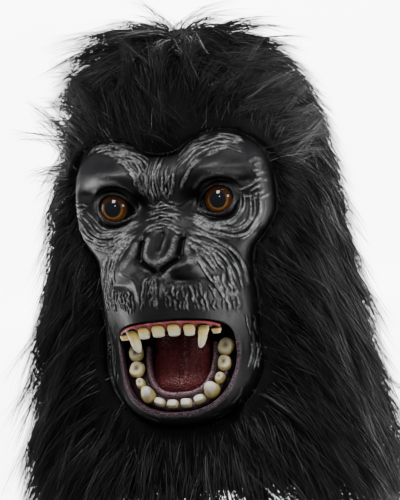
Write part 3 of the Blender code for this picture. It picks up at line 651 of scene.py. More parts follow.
def eye_acrylic():
    """Rings round the eye's own forward axis: pupil, bright inner rim, amber iris, dark limbus."""
    material, tree, shader = new_material("amber_eye_acrylic")
    place = node(tree, "ShaderNodeTexCoord").outputs["Object"]
    split = node(tree, "ShaderNodeSeparateXYZ", {"Vector": place})
    x, y, z = (split.outputs[k] for k in "XYZ")
    off = maths(tree, "SQRT", maths(tree, "ADD", maths(tree, "MULTIPLY", x, x), maths(tree, "MULTIPLY", z, z)))
    angle = maths(tree, "ARCTAN2", z, x)
    fibre_place = node(
        tree, "ShaderNodeCombineXYZ",
        {"X": maths(tree, "MULTIPLY", angle, 6.0), "Y": maths(tree, "MULTIPLY", off, 180.0)},
    )
    fibre = node(
        tree, "ShaderNodeTexNoise",
        {"Vector": fibre_place.outputs["Vector"], "Scale": 1.6, "Detail": 3.0},
    ).outputs["Fac"]
    height = maths(tree, "DIVIDE", z, IRIS_RADIUS * MM)
    lit = mixed(tree, spread(tree, height, -0.95, 0.45), (0.16, 0.056, 0.006), (0.026, 0.009, 0.003))
    iris = mixed(tree, spread(tree, fibre, 0.30, 0.75), lit, (0.055, 0.017, 0.003))
    limbus = spread(tree, off, (IRIS_RADIUS - 1.4) * MM, (IRIS_RADIUS - 0.2) * MM)
    rimmed = mixed(tree, limbus, iris, (0.004, 0.003, 0.003))
    gold = maths(
        tree, "MULTIPLY",
        spread(tree, off, PUPIL_RADIUS * MM, (PUPIL_RADIUS + 0.7) * MM),
        spread(tree, off, (PUPIL_RADIUS + 2.2) * MM, (PUPIL_RADIUS + 0.9) * MM),
    )
    # The gold ring fades out towards the top: painted shade of the lid, as on the iris.
    golden = mixed(tree, maths(tree, "MULTIPLY", gold, spread(tree, height, 0.5, -0.6)), rimmed, (0.33, 0.15, 0.018))
    pupil = spread(tree, off, (PUPIL_RADIUS + 0.25) * MM, (PUPIL_RADIUS - 0.25) * MM)
    colour = mixed(tree, pupil, golden, (0.004, 0.006, 0.010))
    tree.links.new(colour, shader.inputs["Base Color"])
    shader.inputs["Roughness"].default_value = 0.5
    shader.inputs["Specular IOR Level"].default_value = 0.0
    shader.inputs["Coat Weight"].default_value = 1.0
    shader.inputs["Coat Roughness"].default_value = 0.02
    return material


amber = eye_acrylic()
for side, name in ((1, "eye_left"), (-1, "eye_right")):
    shape = bmesh.new()
    bmesh.ops.create_uvsphere(shape, u_segments=64, v_segments=40, radius=eye_radius * MM)
    ball_mesh = bpy.data.meshes.new(f"amber_{name}")
    shape.to_mesh(ball_mesh)
    shape.free()
    ball_mesh.transform(Matrix.Rotation(math.pi / 2, 4, "X"))
    ball_mesh.shade_smooth()
    ball_mesh.materials.append(amber)
    ball = bpy.data.objects.new(f"amber_{name}", ball_mesh)
    bpy.context.scene.collection.objects.link(ball)
    ball.location = (side * eye_middle.x * MM, eye_middle.y * MM, eye_middle.z * MM)
    bpy.context.view_layer.update()
    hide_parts(name)
    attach(ball, "root")


# The inside of the mouth is a dish of thin latex glued behind the lips: dark purple-black
# walls that run back from the lip's edge to a flat floor, which leans back from the chin.
JAW_TILT = math.radians(26)
jaw_back = np.array([0, math.sin(JAW_TILT), math.cos(JAW_TILT)])
jaw_out = np.array([0, -math.cos(JAW_TILT), math.sin(JAW_TILT)])
gum_vertices = np.array([v.co[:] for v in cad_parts["lower_gum"].data.vertices]) / MM
gum_out = gum_vertices @ jaw_out
gum_back = gum_vertices @ jaw_back
jaw_floor = gum_out.min()
jaw_front = gum_back.min()
gum_height = gum_out.max() - jaw_floor
gum_half_width = gum_vertices[:, 0].max()
ARCH_TO_LIP = 4.0
gum_length = gum_back.max() - jaw_front


def on_jaw(across, back, out):
    """Points in metres from distances across, back along the jaw and out of its floor."""
    across, back, out = np.broadcast_arrays(across, back, out)
    points = across[..., None] * np.array([1.0, 0, 0])
    points = points + (jaw_front + back)[..., None] * jaw_back
    return (points + (jaw_floor + out)[..., None] * jaw_out) * MM


def mouth_latex(name, dark, crest_colour, speckle_low):
    material, tree, shader = new_material(name)
    patch = grain(tree, 9 * MM, 3.0)
    base = mixed(tree, patch, dark, tuple(2.2 * c for c in dark))
    speckle = spread(tree, grain(tree, 0.8 * MM, 2.0), speckle_low, speckle_low + 0.16)
    worn = maths(tree, "MULTIPLY", speckle, attribute(tree, "crest"))
    colour = mixed(tree, worn, base, crest_colour)
    tree.links.new(colour, shader.inputs["Base Color"])
    shader.inputs["Roughness"].default_value = 0.26
    bumped(tree, shader, grain(tree, 1.4 * MM, 3.0), 0.4 * MM, 0.6)
    return material


rim = mouth_loop
rim_tree = BVHTree.FromPolygons(
    [v.co.copy() for v in face.data.vertices], [tuple(p.vertices) for p in face.data.polygons]
)
rim_forward = []
mouth_middle = (mouth_loop.max(0) + mouth_loop.min(0)) / 2
for x, z in mouth_loop:
    outward = np.array([x, z]) - mouth_middle
    outward /= np.linalg.norm(outward)
    spot = (np.array([x, z]) + outward * 1.2) * MM
    hit = rim_tree.ray_cast(Vector((spot[0], -1, spot[1])), AHEAD)[0]
    rim_forward.append(-hit.y / MM if hit else 115.0)
rim_forward = np.array(rim_forward)
floor_back = -(rim @ np.array([0, jaw_out[2]]))
floor_forward = (floor_back + jaw_floor) / math.cos(JAW_TILT)
rings = []
for share, inward in ((0.0, -1.6), (0.12, -1.0), (0.3, 0.3), (0.55, 0.9), (0.8, 1.2), (1.0, 1.6)):
    towards = mouth_middle - rim
    towards /= np.linalg.norm(towards, axis=1)[:, None]
    ring = rim + towards * inward
    lift = (-(ring @ np.array([0, jaw_out[2]])) + jaw_floor) / math.cos(JAW_TILT)
    depth = (rim_forward - 2.6) * (1 - share) + lift * share
    rings.append(np.stack([ring[:, 0], -depth, ring[:, 1]], 1))
for share in (0.85, 0.6, 0.35, 0.12):
    ring = mouth_middle + (rings[5][:, [0, 2]] - mouth_middle) * share
    lift = (-(ring @ np.array([0, jaw_out[2]])) + jaw_floor) / math.cos(JAW_TILT)
    rings.append(np.stack([ring[:, 0], -lift, ring[:, 1]], 1))
count = len(rim)
dish_points = np.concatenate(rings) * MM
dish_faces = [
    (row * count + i, row * count + (i + 1) % count, (row + 1) * count + (i + 1) % count, (row + 1) * count + i)
    for row in range(len(rings) - 1)
    for i in range(count)
]
dish_faces.append(tuple((len(rings) - 1) * count + i for i in range(count)))
dish = bpy.data.meshes.new("mouth_dish")
dish.from_pydata(dish_points.tolist(), [], dish_faces)
dish.shade_smooth()
mouth_dish = bpy.data.objects.new("mouth_dish", dish)
bpy.context.scene.collection.objects.link(mouth_dish)
paint(mouth_dish, "crest", np.repeat([1.0, 1.0, 0.3] + [0.0] * 7, count))
wall = mouth_dish.modifiers.new("wall", "SOLIDIFY")
wall.thickness = 1.2 * MM
wall.offset = 1 if dish.polygons[0].normal.dot(Vector((0, -1, 0))) < 0 else -1
mouth_dish.data.materials.append(mouth_latex("mouth_wall_latex", (0.012, 0.005, 0.008), (0.15, 0.09, 0.12), 0.5))
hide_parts("mouth_lining")
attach(mouth_dish, "root")


# The lower gum is a soft ridge that bends round the tongue, cast with the mouth. The teeth
# stand on its outer half, and its inner edge is a rounded crest brushed with pale lilac.
ARCH_SQUARENESS = 2.6
GUM_BAND = 8.0
GUM_PROFILE = (
    # distance inward from the teeth's line, height as a share of the gum's, crest paint
    (-4.6, 0.00, 0.0), (-4.3, 0.45, 0.0), (-3.2, 0.85, 0.1), (-1.4, 1.00, 0.1), (0.6, 0.98, 0.0),
    (2.4, 0.86, 0.0), (4.0, 0.50, 0.0), (5.8, 0.48, 0.0), (7.4, 0.90, 0.7), (8.8, 1.10, 1.0),
    (10.2, 0.95, 0.8), (11.2, 0.55, 0.2), (11.8, 0.00, 0.0),
)
arch_width = 2 * gum_half_width - GUM_BAND
arch_depth = gum_length - GUM_BAND / 2


def arch_points(angles, inward):
    """Places on the tooth arch, moved inward from its line."""
    power = 2 / ARCH_SQUARENESS

    def on_arch(a):
        across = np.sign(a) * np.abs(np.sin(a)) ** power * arch_width / 2
        return np.stack([across, arch_depth * (1 - np.abs(np.cos(a)) ** power)], -1)

    here = on_arch(angles)
    step = 0.01
    along = on_arch(np.clip(angles + step, -math.pi / 2, math.pi / 2))
    along = along - on_arch(np.clip(angles - step, -math.pi / 2, math.pi / 2))
    along /= np.maximum(np.linalg.norm(along, axis=-1, keepdims=True), 1e-9)
    normal = np.stack([-along[..., 1], along[..., 0]], -1)
    moved = here + normal * inward[..., None]
    moved[..., 1] += GUM_BAND / 2 - ARCH_TO_LIP
    return moved


ARCH_STEPS = 121
turns = np.linspace(-1, 1, ARCH_STEPS)
turns = np.sign(turns) * np.abs(turns) ** 1.15 * math.pi / 2
gum_rows, gum_paint = [], []
for inward, high, shade in GUM_PROFILE:
    place = arch_points(turns, np.full(ARCH_STEPS, inward))
    waves = 0.25 * np.sin(turns * 21) + 0.15 * np.sin(turns * 47 + 1)
    lift = gum_height * high + (waves if high else 0)
    gum_rows.append(on_jaw(place[:, 0], place[:, 1], np.asarray(lift) - (1.2 if not high else 0)))
    gum_paint.append(np.full(ARCH_STEPS, shade))
gum_points = np.stack(gum_rows).reshape(-1, 3)
gum = mesh_from("lower_gum_ridge", gum_points, grid_faces(len(GUM_PROFILE), ARCH_STEPS))
paint(gum, "crest", np.concatenate(gum_paint))
soft = gum.modifiers.new("soft", "SUBSURF")
soft.levels = soft.render_levels = 1
gum.data.materials.append(mouth_latex("gum_ridge_latex", (0.014, 0.006, 0.010), (0.46, 0.28, 0.34), 0.38))
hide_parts("lower_gum")
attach(gum, "root")


# The tongue is a wet-looking pad of dark red latex that fills the floor inside the gum, with
# a groove down its middle, fine bumps that catch the light, and pale flecks of painted highlight.
tongue_vertices = np.array([v.co[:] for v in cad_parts["tongue"].data.vertices]) / MM
tongue_half = tongue_vertices[:, 0].max()
tongue_start = (tongue_vertices @ jaw_back).min() - jaw_front
tongue_length = (tongue_vertices @ jaw_back).max() - jaw_front - tongue_start
tongue_thick = (tongue_vertices @ jaw_out).max() - jaw_floor
u, v = np.meshgrid(np.linspace(-1, 1, 61), np.linspace(0, 1, 61), indexing="ij")
front = np.sqrt(1 - (1 - np.clip(v / 0.30, 0, 1)) ** 2)
half = 0.95 * tongue_half * (0.30 + 0.70 * front) * (1 - 0.05 * v)
dome = (1 - np.abs(u) ** 3.2) ** 0.7
fall = np.clip(v / 0.10, 0, 1) ** 0.6
hollow = 1 - 0.10 * np.exp(-((u / 0.42) ** 2))
furrow = 1 - 0.42 * np.exp(-((u / 0.085) ** 2)) * rounded_step(v, 0.06, 0.25)
out = tongue_thick * dome * fall * hollow * furrow * (0.86 + 0.14 * rounded_step(v, 0, 0.5))
tongue_points = on_jaw(u * half, tongue_start + v * tongue_length, out).reshape(-1, 3)
tongue = mesh_from("tongue_pad", tongue_points, grid_faces(61, 61))
# Painted highlight: where the pale flecks go, along the groove, on both sides and across the front.
gleam = 0.9 * np.exp(-(((u - 0.08) / 0.09) ** 2)) * rounded_step(v, 0.04, 0.25)
gleam += 0.8 * np.exp(-(((u + 0.55) / 0.25) ** 2)) * rounded_step(v, 0.45, 0.85)
gleam += 0.6 * np.exp(-(((u - 0.60) / 0.20) ** 2)) * rounded_step(v, 0.35, 0.75)
gleam += 0.7 * np.exp(-(((v - 0.14) / 0.09) ** 2)) * (1 - np.abs(u))
paint(tongue, "gleam", np.clip(gleam, 0, 1).reshape(-1))
soft = tongue.modifiers.new("soft", "SUBSURF")
soft.levels = soft.render_levels = 1


def tongue_latex():
    material, tree, shader = new_material("wet_red_latex")
    patch = grain(tree, 12 * MM, 3.0)
    deep = mixed(tree, patch, (0.075, 0.003, 0.006), (0.17, 0.008, 0.014))
    mottled = mixed(tree, spread(tree, grain(tree, 2.5 * MM, 3.0), 0.55, 0.8), deep, (0.030, 0.002, 0.004))
    # Painted highlight: pale mauve flecks where the gleam is painted.
    painted_glints = maths(tree, "MULTIPLY", attribute(tree, "gleam"), spread(tree, grain(tree, 1.1 * MM, 2.0), 0.47, 0.64))
    colour = mixed(tree, painted_glints, mottled, (0.60, 0.34, 0.36))
    tree.links.new(colour, shader.inputs["Base Color"])
    shader.inputs["Roughness"].default_value = 0.17
    bumped(tree, shader, grain(tree, 1.7 * MM, 3.0), 2.4 * MM, 1.0)
    return material


tongue.data.materials.append(tongue_latex())
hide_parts("tongue")
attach(tongue, "root")


# The teeth are cast latex capped with ivory paint: yellow at their roots, white at their
# tips, with brown in the molars' pits. Each is set on its own seat along the gum.
UPPER_SINK = 1.8
CANINE_LEAN = 4.0
TOOTH_FORMS = {
    # squareness of the section, how far the tip narrows, bulge, pit depth, cusp height
    "incisor": (3.2, 0.80, 0.10, 0.00, 0.00),
    "canine": (2.2, 0.30, 0.16, 0.00, 0.00),
    "premolar": (2.4, 0.72, 0.10, 0.05, 0.00),
    "molar": (2.3, 0.86, 0.12, 0.16, 0.06),
}


def tooth_seat(name, up):
    """A tooth's foot, its axes along and through the gum, and its sizes, from its solid."""
    vertices = np.array([v.co[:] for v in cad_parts[name].data.vertices])
    high = vertices @ up
    base = vertices[high < high.min() + 0.2 * MM]
    foot = base.mean(0)
    span = base - foot
    _, _, axes = np.linalg.svd(span, full_matrices=False)
    along = axes[0]
    along = along - up * (along @ up)
    along /= np.linalg.norm(along)
    through = np.cross(up, along)
    sizes = [np.ptp(vertices @ axis) for axis in (along, through, up)]
    return foot, along, through, sizes


def ivory():
    """Ivory paint by the share of the tooth's height, with stains and shaded edges."""
    material, tree, shader = new_material("ivory_painted_latex")
    blotch = grain(tree, 3.5 * MM, 3.0)
    scratch = grain(tree, 1.2 * MM, 4.0, (0.5, 0.5, 3.0))
    height = attribute(tree, "share")
    stained = maths(tree, "ADD", height, maths(tree, "MULTIPLY", maths(tree, "SUBTRACT", blotch, 0.5), 0.9))
    root = mixed(tree, scratch, (0.66, 0.45, 0.06), (0.84, 0.66, 0.18))
    body = mixed(tree, spread(tree, stained, 0.12, 0.62), root, (0.90, 0.80, 0.48))
    tip = mixed(tree, spread(tree, stained, 0.70, 1.02), body, (0.96, 0.93, 0.86))
    pit = maths(tree, "MULTIPLY", attribute(tree, "pit"), spread(tree, blotch, 0.2, 0.6, 0.7, 1.0))
    pitted = mixed(tree, pit, tip, (0.045, 0.020, 0.005))
    colour = mixed(tree, attribute(tree, "shade"), pitted, (0.040, 0.020, 0.010))
    tree.links.new(colour, shader.inputs["Base Color"])
    shader.inputs["Roughness"].default_value = 0.28
    bumped(tree, shader, scratch, 0.25 * MM, 0.5)
    return material


def make_tooth(name, form, up, widen):
    foot, along, through, (wide, deep, tall) = tooth_seat(name, up)
    square, tip, bulge, pit_depth, cusp = TOOTH_FORMS[form]
    sides, levels, cap_rings = 32, 14, 9
    foot = foot - up * 1.4 * MM
    tall = tall + 1.4 * MM
    inward = np.array([-np.sign(foot[0]), 0, 0])
    if up is jaw_out:
        foot = foot - jaw_back * ARCH_TO_LIP * MM
        tip_in = 0.0
    else:
        foot = foot - up * UPPER_SINK * MM
        tip_in = CANINE_LEAN * MM if form == "canine" else 0.0
    if form == "premolar" and up is not jaw_out:
        tall = 0.62 * tall
    angles = np.linspace(0, 2 * math.pi, sides, endpoint=False)
    c, s = np.cos(angles), np.sin(angles)
    edge = np.stack([np.sign(c) * np.abs(c) ** (2 / square), np.sign(s) * np.abs(s) ** (2 / square)], 1)
    rows, shares, pits, shades = [], [], [], []
    round_start = 0.72 if form != "canine" else 0.45
    for level in range(levels):
        t = level / (levels - 1) * round_start
        swell = 1 + bulge * math.sin(math.pi * min(t / 0.8, 1))
        size = swell * (1 + (tip - 1) * t)
        rows.append((t, size))
        pits.append(0.0)
        shades.append(max(0.0, 0.95 * (1 - t / 0.22)))
    last = rows[-1][1]
    for ring in range(1, cap_rings + 1):
        turn = ring / cap_rings * math.pi / 2
        power = 1.0 if form == "canine" else 0.55
        t = round_start + (1 - round_start) * math.sin(turn) ** power
        rows.append((t, last * math.cos(turn) ** 0.9 if ring < cap_rings else 0.02))
        pits.append(max(0.0, 1 - rows[-1][1] / (0.60 * last)) if pit_depth else 0.0)
        shades.append(0.0)
    points = []
    for (t, size), pit in zip(rows, pits):
        sink = pit_depth * pit * 1.4
        lobes = cusp * np.cos(2 * angles) * (1 - pit) * (1.0 if t > round_start else 0.0)
        lean = 0.10 * t * t if form == "canine" else 0.0
        flat_edge = edge * size
        spot = foot + np.outer(flat_edge[:, 0] * wide / 2 * widen, along)
        spot = spot + np.outer(flat_edge[:, 1] * deep / 2 * widen + lean * deep, through)
        spot = spot + inward * tip_in * t**1.3
        points.append(spot + np.outer((t - sink + lobes) * tall, up))
        shares.append(np.full(sides, t))
    total = len(rows)
    faces = [
        (r * sides + i, r * sides + (i + 1) % sides, (r + 1) * sides + (i + 1) % sides, (r + 1) * sides + i)
        for r in range(total - 1)
        for i in range(sides)
    ]
    faces.append(tuple((total - 1) * sides + i for i in range(sides)))
    faces.append(tuple(range(sides))[::-1])
    mesh = bpy.data.meshes.new(name + "_crown")
    mesh.from_pydata(np.concatenate(points).tolist(), [], faces)
    shape = bmesh.new()
    shape.from_mesh(mesh)
    bmesh.ops.recalc_face_normals(shape, faces=shape.faces)
    shape.to_mesh(mesh)
    shape.free()
    mesh.shade_smooth()
    made = bpy.data.objects.new(name + "_crown", mesh)
    bpy.context.scene.collection.objects.link(made)
    paint(made, "share", np.concatenate(shares) * (0.70 if "molar" in form else 1.0))
    paint(made, "pit", np.repeat(pits, sides))
    paint(made, "shade", np.repeat(shades, sides))
    made.data.materials.append(tooth_paint)
    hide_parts(name)
    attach(made, "root")


tooth_paint = ivory()
lower_names = ("incisor_inner", "incisor_outer", "canine", "premolar", "molar_front", "molar_back")
for jaw, names, up in (
    ("lower", lower_names, jaw_out),
    ("upper", lower_names[:4], np.array([0.0, 0.0, -1.0])),
):
    for kind in names:
        for side in ("left", "right"):
            make_tooth(f"{jaw}_{kind}_{side}", kind.split("_")[0], up, 1.05)


# The upper gum is a band of pink-red latex under the lip. It rises in a scallop over each
# tooth, comes down between them, and is painted glossy.
# Its lower edge over the teeth and its back are painted dark, as painted shade where the gum meets the teeth.
gum_low, gum_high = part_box("upper_gum")
upper_gum_points = np.array([v.co[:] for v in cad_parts["upper_gum"].data.vertices]) / MM
upper_half = gum_high.x / MM
SCALLOP_COLUMNS = 241
tooth_spans = []
for kind in lower_names[:4]:
    for side in ("left", "right"):
        low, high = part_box(f"upper_{kind}_{side}")
        tooth_spans.append(((low.x + high.x) / 2 / MM, (high.x - low.x) / 2 / MM))
across = np.linspace(-upper_half, upper_half, SCALLOP_COLUMNS)
order = np.argsort(upper_gum_points[:, 0])
columns = np.unique(np.round(upper_gum_points[order, 0], 3))
front_at = [
    -upper_gum_points[np.abs(upper_gum_points[:, 0] - c) < 0.01][:, 1].min() for c in columns
]
top_at = [upper_gum_points[np.abs(upper_gum_points[:, 0] - c) < 0.01][:, 2].max() for c in columns]
gum_front = np.interp(across, columns, front_at)
gum_top = np.interp(across, columns, top_at)
gum_drop = (gum_high.z - gum_low.z) / MM
gum_tall = top_at[len(top_at) // 2] - upper_gum_points[np.abs(upper_gum_points[:, 0]) < 1][:, 2].min()
scallop = np.zeros(SCALLOP_COLUMNS)
for x, half in tooth_spans:
    off = np.clip(np.abs(across - x) / (half * 1.05), 0, 1)
    scallop = np.maximum(scallop, np.sqrt(1 - off**2))
bottom = gum_top - gum_tall - 0.5 + 2.6 * scallop
ROWS = 9
gum_grid, gum_shade = [], []
for row in range(ROWS):
    t = row / (ROWS - 1)
    z = (gum_top + 0.6) * (1 - t) + bottom * t
    bulge = 1.1 * math.sin(math.pi * min(1.0, 0.15 + t)) + 0.7 * scallop * t * (1 - t) * 2
    gum_grid.append(np.stack([across, -(gum_front + bulge - 0.4), z], 1))
    # Painted shade: darker towards the teeth, most over each tooth.
    gum_shade.append(rounded_step(t, 0.35, 0.95) * (0.25 + 0.75 * scallop))
for back, drop in ((1.0, -0.1), (3.0, 0.6), (5.0, 1.8)):
    gum_grid.append(gum_grid[ROWS - 1] + (0, back, drop))
    gum_shade.append(np.ones(SCALLOP_COLUMNS))
upper = mesh_from(
    "upper_gum_band", np.concatenate(gum_grid) * MM, grid_faces(len(gum_grid), SCALLOP_COLUMNS)
)
paint(upper, "root", np.concatenate(gum_shade))


def gum_latex():
    material, tree, shader = new_material("glossy_pink_gum_latex")
    patch = grain(tree, 3 * MM, 3.0)
    pink = mixed(tree, patch, (0.20, 0.018, 0.022), (0.46, 0.10, 0.10))
    # Painted shade where the gum meets the teeth and at its back.
    colour = mixed(tree, attribute(tree, "root"), pink, (0.035, 0.004, 0.004))
    tree.links.new(colour, shader.inputs["Base Color"])
    shader.inputs["Roughness"].default_value = 0.2
    bumped(tree, shader, grain(tree, 1.3 * MM, 3.0), 0.5 * MM, 0.7)
    return material


upper.data.materials.append(gum_latex())
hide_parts("upper_gum")
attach(upper, "root")


# The hood's backing is black knitted cloth, the wrong side of the fur fabric. It shows only
# from below, through the open neck.
backing_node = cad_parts["hood_backing"]
backing_mesh = backing_node.data.copy()
shape = bmesh.new()
shape.from_mesh(backing_mesh)
bmesh.ops.remove_doubles(shape, verts=shape.verts, dist=0.02 * MM)
shape.to_mesh(backing_mesh)
shape.free()
backing_mesh.shade_smooth()
backing_mesh.set_sharp_from_angle(angle=math.radians(50))
backing_mesh.materials.clear()
backing = bpy.data.objects.new("knit_backing", backing_mesh)
bpy.context.scene.collection.objects.link(backing)


def knit():
    """Fine ribs of knitting with the fuzz of the pile's roots."""
    material, tree, shader = new_material("black_knit_cloth")
    place = node(tree, "ShaderNodeTexCoord").outputs["Object"]
    rib = node(
        tree, "ShaderNodeTexWave", {"Vector": place, "Scale": 260.0, "Distortion": 2.0, "Detail": 2.0},
        bands_direction="Z",
    ).outputs["Fac"]
    colour = mixed(tree, rib, (0.006, 0.006, 0.007), (0.022, 0.022, 0.024))
    tree.links.new(colour, shader.inputs["Base Color"])
    shader.inputs["Roughness"].default_value = 0.95
    shader.inputs["Sheen Weight"].default_value = 0.2
    bumped(tree, shader, maths(tree, "ADD", rib, grain(tree, 1.5 * MM)), 0.5 * MM, 0.8)
    return material


backing.data.materials.append(knit())
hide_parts("hood_backing")
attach(backing, "root")


# The pile is long synthetic fur, black with charcoal lights: a dense undercoat close to the
# backing and long strands over it that gather into locks. It is combed up and back over the
# brow, out and down at the sides, and is trimmed close round the latex.
UNDERCOAT_DEPTH = 9.0
STRANDS = 77000
STRANDS_IN_LOCK = 22
STRAND_PIECES = 4
STRAND_POINTS = 5
STRAND_LENGTH = 50.0
STRAND_WIDTH = 0.42
LOCK_SPREAD = 6.5
HEM_END = -393.0
SIDE_END = 168.0
BACK_END = 162.0


def outer_skin():
    """Triangles of the hood's outside: their corners and the normals at them, in millimetres."""
    backing_node.data.calc_loop_triangles()
    corners = np.array([v.co[:] for v in backing_node.data.vertices]) / MM
    tris = np.array([t.vertices[:] for t in backing_node.data.loop_triangles])
    tri = corners[tris]
    normal = np.cross(tri[:, 1] - tri[:, 0], tri[:, 2] - tri[:, 0])
    size = np.linalg.norm(normal, axis=1)
    unit = normal / np.maximum(size, 1e-9)[:, None]
    centre = tri.mean(1)
    outward = centre * (1, 1, 0)
    outward[:, 2] = np.clip((centre[:, 2] + 90) / 60, 0, 1) * 60
    outward /= np.linalg.norm(outward, axis=1)[:, None]
    kept = ((unit * outward).sum(1) > 0.35) & (size > 1e-6)
    rounded = np.round(corners, 1)
    _, same = np.unique(rounded, axis=0, return_inverse=True)
    same = same.reshape(-1)
    sums = np.zeros((same.max() + 1, 3))
    for k in range(3):
        np.add.at(sums, same[tris[kept][:, k]], normal[kept])
    at_corner = sums[same]
    at_corner /= np.maximum(np.linalg.norm(at_corner, axis=1), 1e-9)[:, None]
    return tri[kept], at_corner[tris[kept]], size[kept] / 2


def skin_samples(count, chance):
    """Random places on the hood's outside with their normals."""
    tri, normals, area = outer_skin()
    pick = chance.choice(len(tri), count, p=area / area.sum())
    a, b = chance.random((2, count))
    fold = a + b > 1
    a, b = np.where(fold, 1 - a, a), np.where(fold, 1 - b, b)
    weights = np.stack([1 - a - b, a, b], 1)[..., None]
    place = (tri[pick] * weights).sum(1)
    normal = (normals[pick] * weights).sum(1)
    normal /= np.maximum(np.linalg.norm(normal, axis=1), 1e-9)[:, None]
    return place, normal


def unit(vectors):
    return vectors / np.maximum(np.linalg.norm(vectors, axis=-1, keepdims=True), 1e-9)


def combing(place, normal):
    """The direction in which the pile is combed at each place, along the skin."""
    x, y, z = place.T
    in_front = rounded_step(-y, 5, 45)
    above_brow = in_front * rounded_step(z, -118, -78)
    crown = rounded_step(z, -45, -8)
    down = np.stack([0.45 * np.sign(x) * rounded_step(np.abs(x), 5, 70), 0.10 * np.sign(y), -np.ones_like(x)], 1)
    up = np.stack([0.022 * x, 0.55 + 0 * x, 0.75 + 0 * x], 1)
    over = np.stack([0.030 * x, 0.35 + 0.020 * y, 0.0 * x], 1)
    lower_sides = rounded_step(-z, 190, 300)
    down[:, 0] += 0.25 * np.sign(x) * lower_sides * rounded_step(np.abs(x), 30, 80)
    flow = down * (1 - above_brow)[:, None] + up * above_brow[:, None]
    flow = flow * (1 - crown)[:, None] + over * crown[:, None]
    front = place[:, [0, 2]]
    gap, _ = path_distance(front, np.concatenate([face_loop, face_loop[:1]]))
    step = 2.0
    grad = []
    for shift in ((step, 0), (0, step)):
        ahead, _ = path_distance(front + shift, np.concatenate([face_loop, face_loop[:1]]))
        grad.append((ahead - gap) / step)
    away = np.stack([grad[0], np.zeros_like(x), grad[1]], 1)
    flow = unit(flow) + away * (1.5 * in_front * np.exp(-gap / 16))[:, None]
    flow = flow - normal * (flow * normal).sum(1)[:, None]
    return unit(flow), gap, in_front


chance = np.random.default_rng(21)
locks = STRANDS // STRANDS_IN_LOCK
tri_place, tri_normal = skin_samples(int(locks * 2.2), chance)
covered = inside_loop(tri_place[:, [0, 2]], face_loop) & (tri_place[:, 1] < 0)
near_edge, _ = path_distance(tri_place[:, [0, 2]], np.concatenate([face_loop, face_loop[:1]]))
open_skin = ~(covered | ((near_edge < 2.0) & (tri_place[:, 1] < 0)))
hem_first = np.argsort(tri_place[open_skin][:, 2] > -305, kind="stable")[:locks]
lock_place, lock_normal = tri_place[open_skin][hem_first], tri_normal[open_skin][hem_first]
locks = len(lock_place)
lock_flow, lock_gap, lock_front = combing(lock_place, lock_normal)
lock_flow = unit(lock_flow + chance.normal(0, 0.22, (locks, 3)))
near_face = lock_front * np.exp(-lock_gap / 14)
flank = rounded_step(np.abs(lock_place[:, 0]), 50, 82) * rounded_step(-lock_place[:, 2], 80, 170)
shoulder = rounded_step(np.abs(lock_place[:, 0]), 35, 70) * rounded_step(lock_place[:, 2], -75, -40)
lock_length = STRAND_LENGTH * chance.uniform(0.75, 1.25, locks) * (1 - 0.35 * near_face)
lock_length *= 1 + 0.32 * flank - 0.22 * shoulder
lock_lift = (0.85 + chance.normal(0, 0.26, locks)) * (1 - 0.25 * near_face) + 0.45 * flank
above_face = lock_front * rounded_step(lock_place[:, 2], -90, -60) * rounded_step(-lock_place[:, 2], 0, 20)
lock_lift *= 1 - 0.45 * above_face
bushy = rounded_step(-lock_place[:, 0], 10, 60) * rounded_step(-lock_place[:, 2], 40, 90)
tuft = rounded_step(lock_place[:, 2], -30, -5) * rounded_step(-lock_place[:, 0], -40, 0)
lock_length *= 1 + 0.30 * bushy * rounded_step(lock_place[:, 2], -330, -260) + 0.25 * tuft
lock_lift += 0.45 * bushy + 0.45 * tuft
at_hem = rounded_step(-lock_place[:, 2], 285, 335)
lock_lift *= 1 - 0.8 * at_hem
curl = chance.normal(0, 1, (locks, 3))

steps = np.linspace(0, 1, STRAND_POINTS)
lock_path = np.zeros((locks, STRAND_POINTS, 3))
lock_path[:, 0] = lock_place + lock_normal * (UNDERCOAT_DEPTH - 3.0)
heading = unit(lock_flow + lock_normal * lock_lift[:, None] * 1.3)
GRAVITY = np.array([0, 0, -0.22])
for k in range(1, STRAND_POINTS):
    bend = lock_flow * 0.42 + GRAVITY + 0.10 * curl * math.sin(1.7 * k)
    heading = unit(heading + bend)
    lock_path[:, k] = lock_path[:, k - 1] + heading * (lock_length / (STRAND_POINTS - 1))[:, None]

member = np.repeat(np.arange(locks), STRANDS_IN_LOCK)
total = len(member)
side_way = unit(np.cross(lock_normal, lock_flow))
off_a = chance.normal(0, 1, total) * LOCK_SPREAD * 0.75
off_b = chance.normal(0, 1, total) * LOCK_SPREAD
gather = 1 - 0.72 * steps**0.8
scatter = chance.normal(0, 1, (total, 1, 3)) * (steps**1.4)[None, :, None] * 2.6
root_off = side_way[member] * off_a[:, None] + lock_flow[member] * off_b[:, None]
reach = chance.uniform(0.72, 1.12, total)
base = lock_path[member]
strand = base[:, :1] + (base - base[:, :1]) * reach[:, None, None]
strand = strand + root_off[:, None] * gather[None, :, None] + scatter
wave = chance.uniform(0, 6.28, total)[:, None] + steps[None] * 5.0
strand = strand + side_way[member][:, None] * (np.sin(wave) * 0.8 * steps)[..., None]

# Strands that would lie over the latex are left out, but their tips may pass its edge
closed_face = np.concatenate([face_loop, face_loop[:1]])
EDGE_COVER = 4.0


def over_latex(points, front_of):
    """Which of the points hang in front of the latex, further in than its edge."""
    front = points[:, [0, 2]]
    over = inside_loop(front, face_loop) & (points[:, 1] < front_of)
    some = np.flatnonzero(over)
    gap, _ = path_distance(front[some], closed_face)
    over[some[gap < EDGE_COVER]] = False
    return over


over_face = over_latex(strand[:, -1], -40) | over_latex(strand[:, 0], 0) | over_latex(strand[:, 2], -40)
strand = strand[~over_face]

